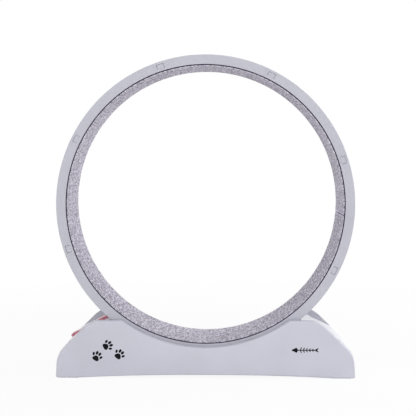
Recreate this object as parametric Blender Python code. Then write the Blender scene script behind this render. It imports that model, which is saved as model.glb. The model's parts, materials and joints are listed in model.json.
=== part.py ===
"""A cat exercise wheel: a running ring of eight moulded segments, lined with two
lengths of carpet, turning on four rubber-tyred rollers in a low two-sided base.
A sliding lock on the left end pushes a rubber pad against the ring.

Metres, +Z up. The origin is on the floor under the middle of the object, +X is to
the right and the wheel's axis runs along Y. The front of the base faces -Y.
"""

import math

import bmesh
import bpy
from mathutils import Vector

# Clearances and overruns
GAP = 0.0003                  # between touching or nested pieces
OVERRUN = 0.004               # how far a cutter passes the face that it opens
BOND = 0.001                  # how deep a joined boss or rib is let into its wall

# Running ring
RING_RADIUS = 0.455           # outer edge of the rim flanges
RING_WIDTH = 0.250
RING_GROUND_GAP = 0.0722      # under the ring
RIM_DEPTH = 0.029             # flat rim face, down to the inside of the track
TRACK_WALL = 0.0035
FLANGE_WALL = 0.0035
SEGMENT_COUNT = 8
FACET_DEGREES = 5.0
FIRST_SEAM_DEGREES = 24.5     # clockwise from the top, seen from the front
GUIDE_RIB_GAP = 0.003         # between a guide rib and the rollers
GUIDE_RIB_WALL = 0.0025
GUIDE_RIB_HEIGHT = 0.008
BRAKE_RIB_PLACE = 0.026       # from the middle of the ring to the rib's inner side
BRAKE_RIB_WALL = 0.003
END_WALL = 0.003              # wall across each end of a segment
END_WALL_HEIGHT = 0.014
END_WALL_SIDE_GAP = 0.0012    # between an end wall and the guide ribs

# Tongues that hold neighbouring segments together
BUTTON_OFFSET_DEGREES = 2.5   # from the seam to the middle of the tongue's button
BUTTON_LENGTH = 0.021
BUTTON_HEIGHT = 0.012
BUTTON_EDGE_GAP = 0.0085      # from the ring's outer edge to the button
BUTTON_SINK = 0.0008          # button below the rim's face
WINDOW_GAP = 0.0012           # round a button in its window
TONGUE_ROOT = 0.022           # length of a tongue before the seam
TONGUE_WALL = 0.0028

# Carpet
CARPET_THICKNESS = 0.006
CARPET_EDGE_SINK = 0.002      # behind each rim's face
CARPET_COUNT = 2
CARPET_FIRST_SEAM_DEGREES = 94.5
CARPET_SEAM_GAP = 0.0006

# Rollers
ROLLER_RADIUS = 0.034
ROLLER_WIDTH = 0.020
ROLLER_FLANGE_GAP = 0.005     # between a roller and the rim flange outside it
ROLLER_ANGLE_DEGREES = 34.0   # from straight down, seen from the ring's axis
ROLLER_SIDES = 24
TYRE_THICKNESS = 0.006
TYRE_CHAMFER = 0.0015
HUB_WEB_RADIUS = 0.008        # bore between the two bearing seats
BEARING_OUTER_RADIUS = 0.011
BEARING_WIDTH = 0.007
BEARING_SIDES = 16
AXLE_RADIUS = 0.004
AXLE_SIDES = 12
AXLE_END_GAP = 0.0005         # from an axle's end to the inside of the panel's face
SPACER_RADIUS = 0.0065
SOCKET_RADIUS = 0.009

# Base panels
PANEL_HALF_LENGTH = 0.456
PANEL_AXLE_COVER = 0.0327     # from an axle's middle up to the panel's top
PANEL_RING_GAP = 0.004        # between the ring and a panel
PANEL_DEPTH = 0.026
PANEL_WALL = 0.003
PLATE_WALL = 0.003
PANEL_EDGE_ROUND = 0.008
PANEL_EDGE_STEPS = 3
RIM_SHOWN = 0.008             # rim face that the panels' round cut-out leaves in view
FOOT_THICKNESS = 0.0015       # panel's lower edge above the floor, at the feet
ARCH_RISE = 0.0090            # from there up to the middle of the arch
ARCH_END_SHARE = 0.845        # of the half length
ARCH_POWER = 2.4              # of the curve that the arch follows down to its ends
ARCH_STEPS = 12
PANEL_DRAFT_SHARE = 0.9985
# The end and shoulder of a panel, as shares of its half length and height
PANEL_SHOULDER_SHARES = (
    (0.993, 0.271),
    (0.986, 0.366),
    (0.968, 0.461),
    (0.924, 0.575),
    (0.801, 0.891),
    (0.758, 0.965),
    (0.724, 1.000),
)
SLOPE_LOW_INDEX = 3           # the long straight slope starts at this shoulder point

# Screws that hold each inner plate to its shell
SCREW_PLACES_SHARES = ((-0.90, 0.30), (-0.24, 0.30), (0.24, 0.30), (0.90, 0.30))
SCREW_RADIUS = 0.002
SCREW_HEAD_RADIUS = 0.0045
SCREW_HEAD_HEIGHT = 0.0022
SCREW_CROWN_SHARE = 0.7
SCREW_LENGTH = 0.014
SCREW_SIDES = 8
BOSS_RADIUS = 0.005

# Feet
FOOT_LENGTH = 0.056
FOOT_WIDTH = 0.010
FOOT_PLUG_LENGTH = 0.030
FOOT_PLUG_HEIGHT = 0.006      # top of the plug above the floor
FOOT_SHARE = 0.912            # of the half length

# End covers
COVER_WALL = 0.003
COVER_RISE = 0.0015           # above the panels' edge, beyond the knee
COVER_KNEE_SHARE = 0.8933     # of the half length
COVER_INNER_DROP = 0.0052     # below the panels' top, at the inner skirt
COVER_ROLLER_GAP = 0.0076     # from the roller's tread to the cover's inner skirt
COVER_LIP = 0.007             # of the sheet past the inner skirt, over the rollers' shoulder
COVER_SKIRT_HEIGHT = 0.060    # lower edge of the inner skirt above the floor
COVER_END_HEIGHT = 0.010

# Beams that tie the two panels together
BEAM_PLACE = 0.105
BEAM_WIDTH = 0.044
BEAM_HEIGHT = 0.026
BEAM_WALL = 0.003
BEAM_FLOOR_GAP = 0.012

# Lock slide on the left end
SLIDE_LIFT_DEGREES = 0.6      # steeper than the cover under it
SLIDE_KNEE_RISE = 0.0092      # its upper face above the cover's knee
SLIDE_TIP_LENGTH = 0.0245     # past the knee, along the slope
SLIDE_THICKNESS = 0.0125      # of its head, down to the underside of the whole slide
SLIDE_BAR_DROP = 0.0040       # the bar's upper face below the head's
SLIDE_WIDTH = 0.034
SLIDE_HEAD_WIDTH = 0.060
SLIDE_HEAD_LENGTH = 0.035
SLIDE_TRAVEL = 0.012
SLIDE_TIP_DROP = 0.0018       # chamfer on the tip's upper edge, down its end
SLIDE_TIP_CHAMFER = 0.004     # the same chamfer, along the slope
PAD_THICKNESS = 0.004
PAD_LIP_THICKNESS = 0.0022    # of the part that lies under the head
PAD_LIP_LENGTH = 0.012
PAD_STOP_GAP = 0.0006         # left to the ring when the slide is pushed home
PAD_TOP_SINK = 0.0005
GUIDE_WALL = 0.0025
GUIDE_WALL_RISE = 0.0075
GUIDE_LENGTH = 0.068
GUIDE_SIDE_GAP = 0.0005
BRIDGE_LENGTH = 0.056
BRIDGE_WALL = 0.0024          # over the slide's bar
BRIDGE_CHEEK = 0.006
BRIDGE_HEAD_GAP = 0.003       # from the bridge to the slide's head

# Worked out from the sizes above
RING_CENTRE = Vector((0.0, 0.0, RING_RADIUS + RING_GROUND_GAP))
TRACK_INNER_RADIUS = RING_RADIUS - RIM_DEPTH
TRACK_OUTER_RADIUS = TRACK_INNER_RADIUS + TRACK_WALL
CUTOUT_RADIUS = TRACK_INNER_RADIUS + RIM_SHOWN
BUTTON_RADIUS = RING_RADIUS - BUTTON_EDGE_GAP - BUTTON_HEIGHT / 2
HALF_RING_WIDTH = RING_WIDTH / 2
FLANGE_INNER = HALF_RING_WIDTH - FLANGE_WALL
ROLLER_ORBIT = TRACK_OUTER_RADIUS + ROLLER_RADIUS + GAP
ROLLER_TURN = math.radians(ROLLER_ANGLE_DEGREES)
ROLLER_SPREAD = ROLLER_ORBIT * math.sin(ROLLER_TURN)
ROLLER_HEIGHT = RING_CENTRE.z - ROLLER_ORBIT * math.cos(ROLLER_TURN)
COVER_INNER_PLACE = ROLLER_SPREAD + ROLLER_RADIUS + COVER_ROLLER_GAP
SEGMENT_DEGREES = 360.0 / SEGMENT_COUNT
ROLLER_PLACE = FLANGE_INNER - ROLLER_FLANGE_GAP - ROLLER_WIDTH / 2
GUIDE_RIB_PLACE = ROLLER_PLACE - ROLLER_WIDTH / 2 - GUIDE_RIB_GAP - GUIDE_RIB_WALL
PANEL_HEIGHT = ROLLER_HEIGHT + PANEL_AXLE_COVER
PANEL_INNER_PLACE = HALF_RING_WIDTH + PANEL_RING_GAP
PANEL_OUTER_PLACE = PANEL_INNER_PLACE + PANEL_DEPTH
COVER_KNEE_PLACE = COVER_KNEE_SHARE * PANEL_HALF_LENGTH
PLATE_OUTER_PLACE = PANEL_INNER_PLACE + PLATE_WALL
SHELL_RIM_PLACE = PLATE_OUTER_PLACE + GAP
SHELL_FLOOR_PLACE = PANEL_OUTER_PLACE - PANEL_WALL
COVER_HALF_WIDTH = PANEL_INNER_PLACE - GAP
BAR_TOP = -SLIDE_BAR_DROP                   # from the head's upper face, as the next four
TUNNEL_TOP = BAR_TOP + GAP
BRIDGE_TOP = TUNNEL_TOP + BRIDGE_WALL
PAD_TOP = -SLIDE_THICKNESS - GAP            # of its lip
PAD_FLOOR = PAD_TOP - PAD_LIP_THICKNESS


# Scene and materials

def clear_scene():
    for thing in list(bpy.data.objects):
        bpy.data.objects.remove(thing, do_unlink=True)


def material(name, colour, roughness, metallic=0.0):
    made = bpy.data.materials.new(name)
    made.use_nodes = True
    shader = made.node_tree.nodes["Principled BSDF"]
    shader.inputs["Base Color"].default_value = (*colour, 1.0)
    shader.inputs["Roughness"].default_value = roughness
    shader.inputs["Metallic"].default_value = metallic
    made.diffuse_color = (*colour, 1.0)
    return made


def pivot(name, place):
    empty = bpy.data.objects.new(name, None)
    empty.location = place
    bpy.context.collection.objects.link(empty)
    return empty


# Building solids

def solid(name, points, faces, look, parent=None, smooth_degrees=None):
    """One object from points and faces, with its faces turned outward."""
    mesh = bpy.data.meshes.new(name)
    mesh.from_pydata([tuple(point) for point in points], [], faces)
    work = bmesh.new()
    work.from_mesh(mesh)
    bmesh.ops.recalc_face_normals(work, faces=work.faces[:])
    work.to_mesh(mesh)
    work.free()
    if smooth_degrees is not None:
        mesh.shade_smooth()
        mesh.set_sharp_from_angle(angle=math.radians(smooth_degrees))
    if look is not None:
        mesh.materials.append(look)
    made = bpy.data.objects.new(name, mesh)
    bpy.context.collection.objects.link(made)
    made.parent = parent
    return made


def loop_faces(rings, sides, closed):
    """Quads between successive rings of points, with end faces unless closed."""
    faces = []
    last = rings if closed else rings - 1
    for ring in range(last):
        following = (ring + 1) % rings
        for side in range(sides):
            beside = (side + 1) % sides
            faces.append((ring * sides + side, ring * sides + beside,
                          following * sides + beside, following * sides + side))
    if not closed:
        faces.append(tuple(range(sides)))
        faces.append(tuple(range((rings - 1) * sides, rings * sides)))
    return faces


def clock_point(radius, degrees, depth=0.0):
    """A point about the ring's axis, at an angle clockwise from the top."""
    turn = math.radians(degrees)
    return Vector((radius * math.sin(turn), depth, radius * math.cos(turn)))


def sweep(profile, start_degrees, end_degrees, steps, closed=False):
    """Turn a closed profile of (radius, depth) about the Y axis."""
    rings = steps if closed else steps + 1
    points = []
    for ring in range(rings):
        degrees = start_degrees + (end_degrees - start_degrees) * ring / steps
        points.extend(clock_point(radius, degrees, depth) for radius, depth in profile)
    return points, loop_faces(rings, len(profile), closed)


def turned(name, profile, sides, look, parent=None):
    """A full ring, or a tube, from a closed profile of (radius, depth)."""
    points, faces = sweep(profile, 0.0, 360.0, sides, closed=True)
    return solid(name, points, faces, look, parent, smooth_degrees=30)


def tube_profile(inner, outer, low, high):
    return [(inner, low), (outer, low), (outer, high), (inner, high)]


def prism_points(outline, low, high):
    """Points and faces of an outline of (x, z) drawn out along Y."""
    points = [(x, low, z) for x, z in outline] + [(x, high, z) for x, z in outline]
    return points, loop_faces(2, len(outline), closed=False)


def prism(name, outline, low, high, look, parent=None):
    points, faces = prism_points(outline, low, high)
    return solid(name, points, faces, look, parent)


def rod(name, centre, radius, sides, low, high, look, parent=None):
    """A round bar along Y through centre, a place of (x, z)."""
    outline = []
    for side in range(sides):
        turn = math.tau * side / sides
        outline.append((centre[0] + radius * math.cos(turn), centre[1] + radius * math.sin(turn)))
    made = prism(name, outline, low, high, look, parent)
    made.data.shade_smooth()
    made.data.set_sharp_from_angle(angle=math.radians(40))
    return made


def joined_solid(name, pieces, look, parent=None):
    """Several separate solids in one object, from (points, faces) pairs."""
    points = []
    faces = []
    for piece_points, piece_faces in pieces:
        start = len(points)
        points.extend(piece_points)
        faces.extend(tuple(start + index for index in face) for face in piece_faces)
    return solid(name, points, faces, look, parent)


def shape_with(target, tool, operation):
    """Cut a tool out of the target, or join it on, and hide the tool."""
    tool.hide_render = True
    tool.display_type = "WIRE"
    change = target.modifiers.new(tool.name, "BOOLEAN")
    change.operation = operation
    change.solver = "EXACT"
    change.object = tool
    return target


def cut(target, tool):
    return shape_with(target, tool, "DIFFERENCE")


def join(target, tool):
    return shape_with(target, tool, "UNION")


def inset(outline, distance):
    """Move every side of a closed outline of (x, z) inward by a distance."""
    area = sum(a[0] * b[1] - b[0] * a[1] for a, b in zip(outline, outline[1:] + outline[:1]))
    turn = 1.0 if area > 0 else -1.0
    moved = []
    for index, point in enumerate(outline):
        before = Vector(outline[index - 1])
        here = Vector(point)
        after = Vector(outline[(index + 1) % len(outline)])
        first = (here - before).normalized()
        second = (after - here).normalized()
        first_in = Vector((-first.y, first.x)) * turn
        second_in = Vector((-second.y, second.x)) * turn
        shift = (first_in + second_in) / (1.0 + first_in.dot(second_in))
        moved.append(tuple(here + shift * distance))
    return moved


# Running ring

def segment_profile():
    """Section of a segment as (radius, depth): a channel open outward, with ribs."""
    def rib(inner, wall, top):
        return [(TRACK_OUTER_RADIUS, inner + wall), (top, inner + wall), (top, inner),
                (TRACK_OUTER_RADIUS, inner)]

    half = [(TRACK_INNER_RADIUS, HALF_RING_WIDTH), (RING_RADIUS, HALF_RING_WIDTH),
            (RING_RADIUS, FLANGE_INNER), (TRACK_OUTER_RADIUS, FLANGE_INNER)]
    half += rib(GUIDE_RIB_PLACE, GUIDE_RIB_WALL, TRACK_OUTER_RADIUS + GUIDE_RIB_HEIGHT)
    half += rib(BRAKE_RIB_PLACE, BRAKE_RIB_WALL, RING_RADIUS)
    other = [(radius, -depth) for radius, depth in reversed(half)]
    return half + other


def tangent_frame(degrees):
    """Radial, tangential and axial directions at a clock angle."""
    radial = clock_point(1.0, degrees)
    tangent = clock_point(1.0, degrees + 90.0)
    return radial, tangent, Vector((0.0, 1.0, 0.0))


def tangent_block(degrees, radial_range, tangent_range, depth_range):
    """Points and faces of a block set square to the ring's radius."""
    radial, tangent, axial = tangent_frame(degrees)
    points = []
    for out in radial_range:
        for depth in depth_range:
            for along in (tangent_range if depth == depth_range[0] else tangent_range[::-1]):
                points.append(radial * out + tangent * along + axial * depth)
    return points, loop_faces(2, 4, closed=False)


def tongue(end_degrees, side):
    """A tongue behind the rim, past the segment's end, with a button for the next window."""
    middle = end_degrees + BUTTON_OFFSET_DEGREES
    radial, tangent, axial = tangent_frame(middle)
    half = BUTTON_LENGTH / 2
    seam = -BUTTON_RADIUS * math.tan(math.radians(BUTTON_OFFSET_DEGREES)) - 2 * GAP
    front = FLANGE_INNER - GAP
    back = front - TONGUE_WALL
    outline = [(seam - TONGUE_ROOT, back), (half, back), (half, HALF_RING_WIDTH - BUTTON_SINK),
               (-half, HALF_RING_WIDTH - BUTTON_SINK), (-half, front), (seam, front),
               (seam, FLANGE_INNER + BOND), (seam - TONGUE_ROOT, FLANGE_INNER + BOND)]
    points = []
    for out in (BUTTON_RADIUS - BUTTON_HEIGHT / 2, BUTTON_RADIUS + BUTTON_HEIGHT / 2):
        for along, depth in outline:
            points.append(radial * out + tangent * along + axial * (side * depth))
    return points, loop_faces(2, len(outline), closed=False)


def make_segment(number, look, axis):
    """One eighth of the ring: end walls, a window in each rim and a tongue past its end."""
    start = FIRST_SEAM_DEGREES + SEGMENT_DEGREES * number
    seam_gap = math.degrees(GAP / RING_RADIUS)
    steps = round(SEGMENT_DEGREES / FACET_DEGREES)
    profile = segment_profile()
    points = []
    for ring in range(steps + 1):
        degrees = start + FACET_DEGREES * ring
        if ring == steps:
            degrees -= seam_gap
        points.extend(clock_point(radius, degrees, depth) for radius, depth in profile)
    faces = loop_faces(steps + 1, len(profile), closed=False)
    segment = solid(f"wheel_segment_{number + 1}", points, faces, look, axis, smooth_degrees=30)

    height = (TRACK_OUTER_RADIUS - BOND, TRACK_OUTER_RADIUS + END_WALL_HEIGHT)
    bay_low = BRAKE_RIB_PLACE + BRAKE_RIB_WALL + END_WALL_SIDE_GAP
    bay_high = GUIDE_RIB_PLACE - END_WALL_SIDE_GAP
    middle = BRAKE_RIB_PLACE - END_WALL_SIDE_GAP
    walls = []
    for degrees, along in ((start, (2 * GAP, END_WALL)),
                           (start + SEGMENT_DEGREES, (-END_WALL, -2 * GAP))):
        for bay in ((-bay_high, -bay_low), (-middle, middle), (bay_low, bay_high)):
            walls.append(tangent_block(degrees, height, along, bay))
    walls += [tongue(start + SEGMENT_DEGREES, side) for side in (-1, 1)]
    join(segment, joined_solid(f"walls_and_tongues_{number + 1}", walls, None, axis))

    half_window = BUTTON_LENGTH / 2 + WINDOW_GAP
    reach = BUTTON_HEIGHT / 2 + WINDOW_GAP
    windows = [tangent_block(start + BUTTON_OFFSET_DEGREES,
                             (BUTTON_RADIUS - reach, BUTTON_RADIUS + reach),
                             (-half_window, half_window),
                             (side * (FLANGE_INNER - OVERRUN), side * (HALF_RING_WIDTH + OVERRUN)))
               for side in (-1, 1)]
    cut(segment, joined_solid(f"windows_{number + 1}", windows, None, axis))


def make_carpet(number, look, axis):
    """One length of the running carpet, lying against the inside of the track."""
    half = HALF_RING_WIDTH - CARPET_EDGE_SINK
    outer = TRACK_INNER_RADIUS - GAP
    inner = outer - CARPET_THICKNESS
    length = 360.0 / CARPET_COUNT
    start = CARPET_FIRST_SEAM_DEGREES + length * number
    steps = round(length / FACET_DEGREES)
    profile = tube_profile(inner, outer, -half, half)
    points = []
    for ring in range(steps + 1):
        degrees = start + FACET_DEGREES * ring
        if ring == steps:
            degrees -= math.degrees(CARPET_SEAM_GAP / outer)
        points.extend(clock_point(radius, degrees, depth) for radius, depth in profile)
    faces = loop_faces(steps + 1, len(profile), closed=False)
    solid(f"carpet_half_{number + 1}", points, faces, look, axis, smooth_degrees=30)


# Rollers and axles

def roller_place(across, along):
    """Centre of a roller: across is -1 left or 1 right, along is -1 front or 1 back."""
    return Vector((across * ROLLER_SPREAD, along * ROLLER_PLACE, ROLLER_HEIGHT))


def make_roller(number, across, along, looks):
    centre = pivot(f"roller_{number}_axis", roller_place(across, along))
    half = ROLLER_WIDTH / 2
    tyre_bore = ROLLER_RADIUS - TYRE_THICKNESS
    hub_radius = tyre_bore - GAP
    seat = BEARING_OUTER_RADIUS + GAP
    tyre = [(tyre_bore, -half), (ROLLER_RADIUS - TYRE_CHAMFER, -half),
            (ROLLER_RADIUS, -half + TYRE_CHAMFER), (ROLLER_RADIUS, half - TYRE_CHAMFER),
            (ROLLER_RADIUS - TYRE_CHAMFER, half), (tyre_bore, half)]
    turned(f"roller_tyre_{number}", tyre, ROLLER_SIDES, looks["rubber"], centre)

    seat_floor = half - BEARING_WIDTH - GAP
    hub = [(seat, -half), (hub_radius, -half), (hub_radius, half), (seat, half),
           (seat, seat_floor), (HUB_WEB_RADIUS, seat_floor),
           (HUB_WEB_RADIUS, -seat_floor), (seat, -seat_floor)]
    turned(f"roller_hub_{number}", hub, ROLLER_SIDES, looks["hub"], centre)

    bore = AXLE_RADIUS + GAP
    for end, low in (("front", -half), ("rear", half - BEARING_WIDTH)):
        profile = tube_profile(bore, BEARING_OUTER_RADIUS, low, low + BEARING_WIDTH)
        turned(f"{end}_bearing_{number}", profile, BEARING_SIDES, looks["steel"], centre)


def make_axle(side_name, across, looks):
    place = (across * ROLLER_SPREAD, ROLLER_HEIGHT)
    reach = SHELL_FLOOR_PLACE - AXLE_END_GAP
    rod(f"{side_name}_axle", place, AXLE_RADIUS, AXLE_SIDES, -reach, reach, looks["steel"])

    centre = pivot(f"{side_name}_spacer_axis", (place[0], 0.0, place[1]))
    bore = AXLE_RADIUS + GAP
    inner_reach = ROLLER_PLACE - ROLLER_WIDTH / 2 - GAP
    turned(f"{side_name}_long_spacer", tube_profile(bore, SPACER_RADIUS, -inner_reach, inner_reach),
           AXLE_SIDES, looks["hub"], centre)
    low = ROLLER_PLACE + ROLLER_WIDTH / 2 + GAP
    high = PANEL_INNER_PLACE - GAP
    for end, ends in (("front", (-high, -low)), ("rear", (low, high))):
        turned(f"{side_name}_{end}_spacer", tube_profile(bore, SPACER_RADIUS, *ends),
               AXLE_SIDES, looks["hub"], centre)


# Base panels

def arch_points():
    """The lower edge of a panel between its feet, from the left to the right, as (x, z)."""
    points = []
    for step in range(ARCH_STEPS + 1):
        share = 2 * step / ARCH_STEPS - 1
        points.append((share * ARCH_END_SHARE * PANEL_HALF_LENGTH,
                       FOOT_THICKNESS + ARCH_RISE * (1 - abs(share) ** ARCH_POWER)))
    return points


def panel_outline():
    """Closed outline of a panel as (x, z), from the right foot round to the left, and the arch."""
    edge_drop = RING_CENTRE.z - PANEL_HEIGHT
    spread = math.asin(math.sqrt(CUTOUT_RADIUS ** 2 - edge_drop ** 2) / CUTOUT_RADIUS)
    right = [(PANEL_DRAFT_SHARE * PANEL_HALF_LENGTH, FOOT_THICKNESS)]
    right += [(x * PANEL_HALF_LENGTH, z * PANEL_HEIGHT) for x, z in PANEL_SHOULDER_SHARES]
    steps = 2 * math.ceil(math.degrees(spread) / FACET_DEGREES)
    arc = []
    for step in range(steps + 1):
        turn = spread * (1 - 2 * step / steps)
        arc.append((CUTOUT_RADIUS * math.sin(turn), RING_CENTRE.z - CUTOUT_RADIUS * math.cos(turn)))
    left = [(-x, z) for x, z in reversed(right)]
    return right + arc + left + arch_points()


def skin_rings(outline, wall, steps, side):
    """Rings of a rounded skin, from its rim to its face, a wall's depth inside the outline."""
    radius = PANEL_EDGE_ROUND - wall
    start = PANEL_OUTER_PLACE - PANEL_EDGE_ROUND
    rings = [(wall, SHELL_RIM_PLACE)]
    for step in range(steps + 1):
        turn = math.pi / 2 * step / steps
        rings.append((wall + radius * (1 - math.cos(turn)), start + radius * math.sin(turn)))
    return [[(x, side * depth, z) for x, z in inset(outline, distance)]
            for distance, depth in rings]


def lathe(place, rings, sides, side):
    """Points and faces of a solid of circles (radius, depth) about an axis along Y."""
    points = []
    for radius, depth in rings:
        for index in range(sides):
            turn = math.tau * index / sides
            points.append((place[0] + radius * math.cos(turn), side * depth,
                           place[1] + radius * math.sin(turn)))
    return points, loop_faces(len(rings), sides, closed=False)


def screw_places():
    return [(x * PANEL_HALF_LENGTH, z * PANEL_HEIGHT) for x, z in SCREW_PLACES_SHARES]


def foot_centre():
    """Place of a foot: along the panel, and from the middle of the object."""
    depth = (SHELL_RIM_PLACE + PANEL_OUTER_PLACE - PANEL_EDGE_ROUND) / 2
    return FOOT_SHARE * PANEL_HALF_LENGTH, depth


def make_shell(name, side, look):
    """The outer shell of a panel, open toward the ring, with bosses for its screws."""
    outline = panel_outline()
    outer = skin_rings(outline, 0.0, PANEL_EDGE_STEPS, side)
    inner = skin_rings(outline, PANEL_WALL, 1, side)
    rings = outer[::-1] + inner
    points = [point for ring in rings for point in ring]
    shell = solid(name, points, loop_faces(len(rings), len(outline), closed=False), look,
                  smooth_degrees=40)

    bosses = [lathe(place, [(BOSS_RADIUS, SHELL_RIM_PLACE), (BOSS_RADIUS, SHELL_FLOOR_PLACE + BOND)],
                    SCREW_SIDES, side) for place in screw_places()]
    join(shell, joined_solid(f"{name}_bosses", bosses, None))

    bore = SCREW_RADIUS + GAP
    end = PANEL_INNER_PLACE + SCREW_LENGTH + GAP
    holes = [lathe(place, [(bore, SHELL_RIM_PLACE - OVERRUN), (bore, end)], SCREW_SIDES, side)
             for place in screw_places()]
    middle, depth = foot_centre()
    half_length = FOOT_PLUG_LENGTH / 2 + GAP
    half_width = FOOT_WIDTH / 2 + GAP
    top = FOOT_THICKNESS + PANEL_WALL + OVERRUN
    for across in (-1, 1):
        low_x, high_x = across * middle - half_length, across * middle + half_length
        slot = [(low_x, -OVERRUN), (high_x, -OVERRUN), (high_x, top), (low_x, top)]
        holes.append(prism_points(slot, side * (depth - half_width), side * (depth + half_width)))
    cut(shell, joined_solid(f"{name}_holes", holes, None))


def make_plate(name, side, look):
    """The inner plate that closes a shell and holds the ends of the axles."""
    outline = panel_outline()
    plate = prism(name, outline, side * PANEL_INNER_PLACE, side * PLATE_OUTER_PLACE, look)
    axles = [(across * ROLLER_SPREAD, ROLLER_HEIGHT) for across in (-1, 1)]
    sockets = [lathe(place, [(SOCKET_RADIUS, PLATE_OUTER_PLACE - BOND),
                             (SOCKET_RADIUS, SHELL_FLOOR_PLACE - GAP)], AXLE_SIDES, side)
               for place in axles]
    join(plate, joined_solid(f"{name}_sockets", sockets, None))

    low = PANEL_INNER_PLACE - OVERRUN
    high = PANEL_OUTER_PLACE
    holes = [lathe(place, [(AXLE_RADIUS + GAP, low), (AXLE_RADIUS + GAP, high)], AXLE_SIDES, side)
             for place in axles]
    holes += [lathe(place, [(SCREW_RADIUS + GAP, low), (SCREW_RADIUS + GAP, high)],
                    SCREW_SIDES, side) for place in screw_places()]
    cut(plate, joined_solid(f"{name}_holes", holes, None))


def make_screws(name, side, look):
    head_top = PANEL_INNER_PLACE - GAP - SCREW_HEAD_HEIGHT
    head_seat = PANEL_INNER_PLACE - GAP
    rings = [(SCREW_CROWN_SHARE * SCREW_HEAD_RADIUS, head_top), (SCREW_HEAD_RADIUS, head_seat),
             (SCREW_RADIUS, head_seat), (SCREW_RADIUS, PANEL_INNER_PLACE + SCREW_LENGTH - GAP)]
    for number, place in enumerate(screw_places(), start=1):
        points, faces = lathe(place, rings, SCREW_SIDES, side)
        solid(f"{name}_{number}", points, faces, look, smooth_degrees=50)


def make_feet(look):
    """Four rubber feet, each a pad with a plug that fills a slot in the shell."""
    middle, depth = foot_centre()
    half = FOOT_LENGTH / 2
    plug = FOOT_PLUG_LENGTH / 2
    top = FOOT_THICKNESS - GAP
    outline = [(-half, 0.0), (half, 0.0), (half, top), (plug, top), (plug, FOOT_PLUG_HEIGHT),
               (-plug, FOOT_PLUG_HEIGHT), (-plug, top), (-half, top)]
    for side_name, side in (("front", -1), ("rear", 1)):
        for across_name, across in (("left", -1), ("right", 1)):
            placed = [(across * middle + x, z) for x, z in outline]
            prism(f"{side_name}_{across_name}_foot", placed, side * (depth - FOOT_WIDTH / 2),
                  side * (depth + FOOT_WIDTH / 2), look)


# Covers and beams between the panels

def strip(path, wall):
    """Closed outline of a bent sheet: an open path and the same path, one wall to its left."""
    moved = []
    for index, point in enumerate(path):
        here = Vector(point)
        first = here - Vector(path[index - 1]) if index > 0 else None
        second = Vector(path[index + 1]) - here if index < len(path) - 1 else None
        first = (first or second).normalized()
        second = (second or first).normalized()
        first_in = Vector((-first.y, first.x))
        second_in = Vector((-second.y, second.x))
        shift = (first_in + second_in) / (1.0 + first_in.dot(second_in))
        moved.append(tuple(here + shift * wall))
    return list(path) + moved[::-1]


def between(low, high, share):
    return tuple(Vector(low).lerp(Vector(high), share))


def cover_path():
    """The right end cover's upper line as (x, z), its knee and the slope above the knee."""
    edge = inset(panel_outline(), -COVER_RISE)
    slope_low = 1 + SLOPE_LOW_INDEX
    foot_share = (COVER_END_HEIGHT - edge[0][1]) / (edge[1][1] - edge[0][1])
    knee_share = ((COVER_KNEE_PLACE - edge[slope_low][0])
                  / (edge[slope_low + 1][0] - edge[slope_low][0]))
    knee = between(edge[slope_low], edge[slope_low + 1], knee_share)
    top = PANEL_HEIGHT - COVER_INNER_DROP
    slope = math.atan2(top - knee[1], knee[0] - COVER_INNER_PLACE)
    path = [between(edge[0], edge[1], foot_share)]
    path += edge[1:slope_low + 1]
    path += [knee, (COVER_INNER_PLACE - COVER_LIP, top + COVER_LIP * math.tan(slope))]
    return path, knee, slope


def make_cover(name, across, look):
    """A bent sheet with a skirt down its inner side, and a short lip past the skirt."""
    outline = [(across * x, z) for x, z in strip(cover_path()[0], COVER_WALL)]
    cover = prism(name, outline, -COVER_HALF_WIDTH, COVER_HALF_WIDTH, look)
    inner, outer = COVER_INNER_PLACE, COVER_INNER_PLACE + COVER_WALL
    slope = cover_path()[2]
    top = PANEL_HEIGHT - COVER_INNER_DROP - COVER_WALL / math.cos(slope) + BOND
    skirt = [(inner, COVER_SKIRT_HEIGHT), (outer, COVER_SKIRT_HEIGHT),
             (outer, top - COVER_WALL * math.tan(slope)), (inner, top)]
    skirt = [(across * x, z) for x, z in skirt]
    join(cover, joined_solid(f"{name}_skirt", [prism_points(skirt, -COVER_HALF_WIDTH,
                                                            COVER_HALF_WIDTH)], None))
    return cover


def make_beam(name, across, look):
    half = BEAM_WIDTH / 2
    top = BEAM_FLOOR_GAP + BEAM_HEIGHT
    path = [(half, BEAM_FLOOR_GAP), (half, top), (-half, top), (-half, BEAM_FLOOR_GAP)]
    outline = [(across * BEAM_PLACE + x, z) for x, z in strip(path, BEAM_WALL)]
    prism(name, outline, -COVER_HALF_WIDTH, COVER_HALF_WIDTH, look)


# Lock slide

def slide_point(along, depth, above):
    """A point in the slide's own directions, from over the left cover's knee."""
    knee, slope = cover_path()[1:]
    turn = slope + math.radians(SLIDE_LIFT_DEGREES)
    return Vector((-knee[0] + along * math.cos(turn) - above * math.sin(turn), depth,
                   knee[1] + SLIDE_KNEE_RISE + along * math.sin(turn) + above * math.cos(turn)))


def pad_end(above):
    """How far up the slope the pad ends at rest, one travel short of the ring, at a height."""
    start = slide_point(0.0, 0.0, above) - RING_CENTRE
    way = slide_point(1.0, 0.0, 0.0) - slide_point(0.0, 0.0, 0.0)
    along = start.dot(way)
    touch = -along - math.sqrt(along ** 2 - start.length_squared + RING_RADIUS ** 2)
    return touch - PAD_STOP_GAP - SLIDE_TRAVEL


def slide_places():
    """Where the slide's head and bridge lie along the slope."""
    head_start = pad_end(0.0) - PAD_THICKNESS - GAP - SLIDE_HEAD_LENGTH
    bridge_end = head_start - BRIDGE_HEAD_GAP
    return head_start, bridge_end - BRIDGE_LENGTH, bridge_end


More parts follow.
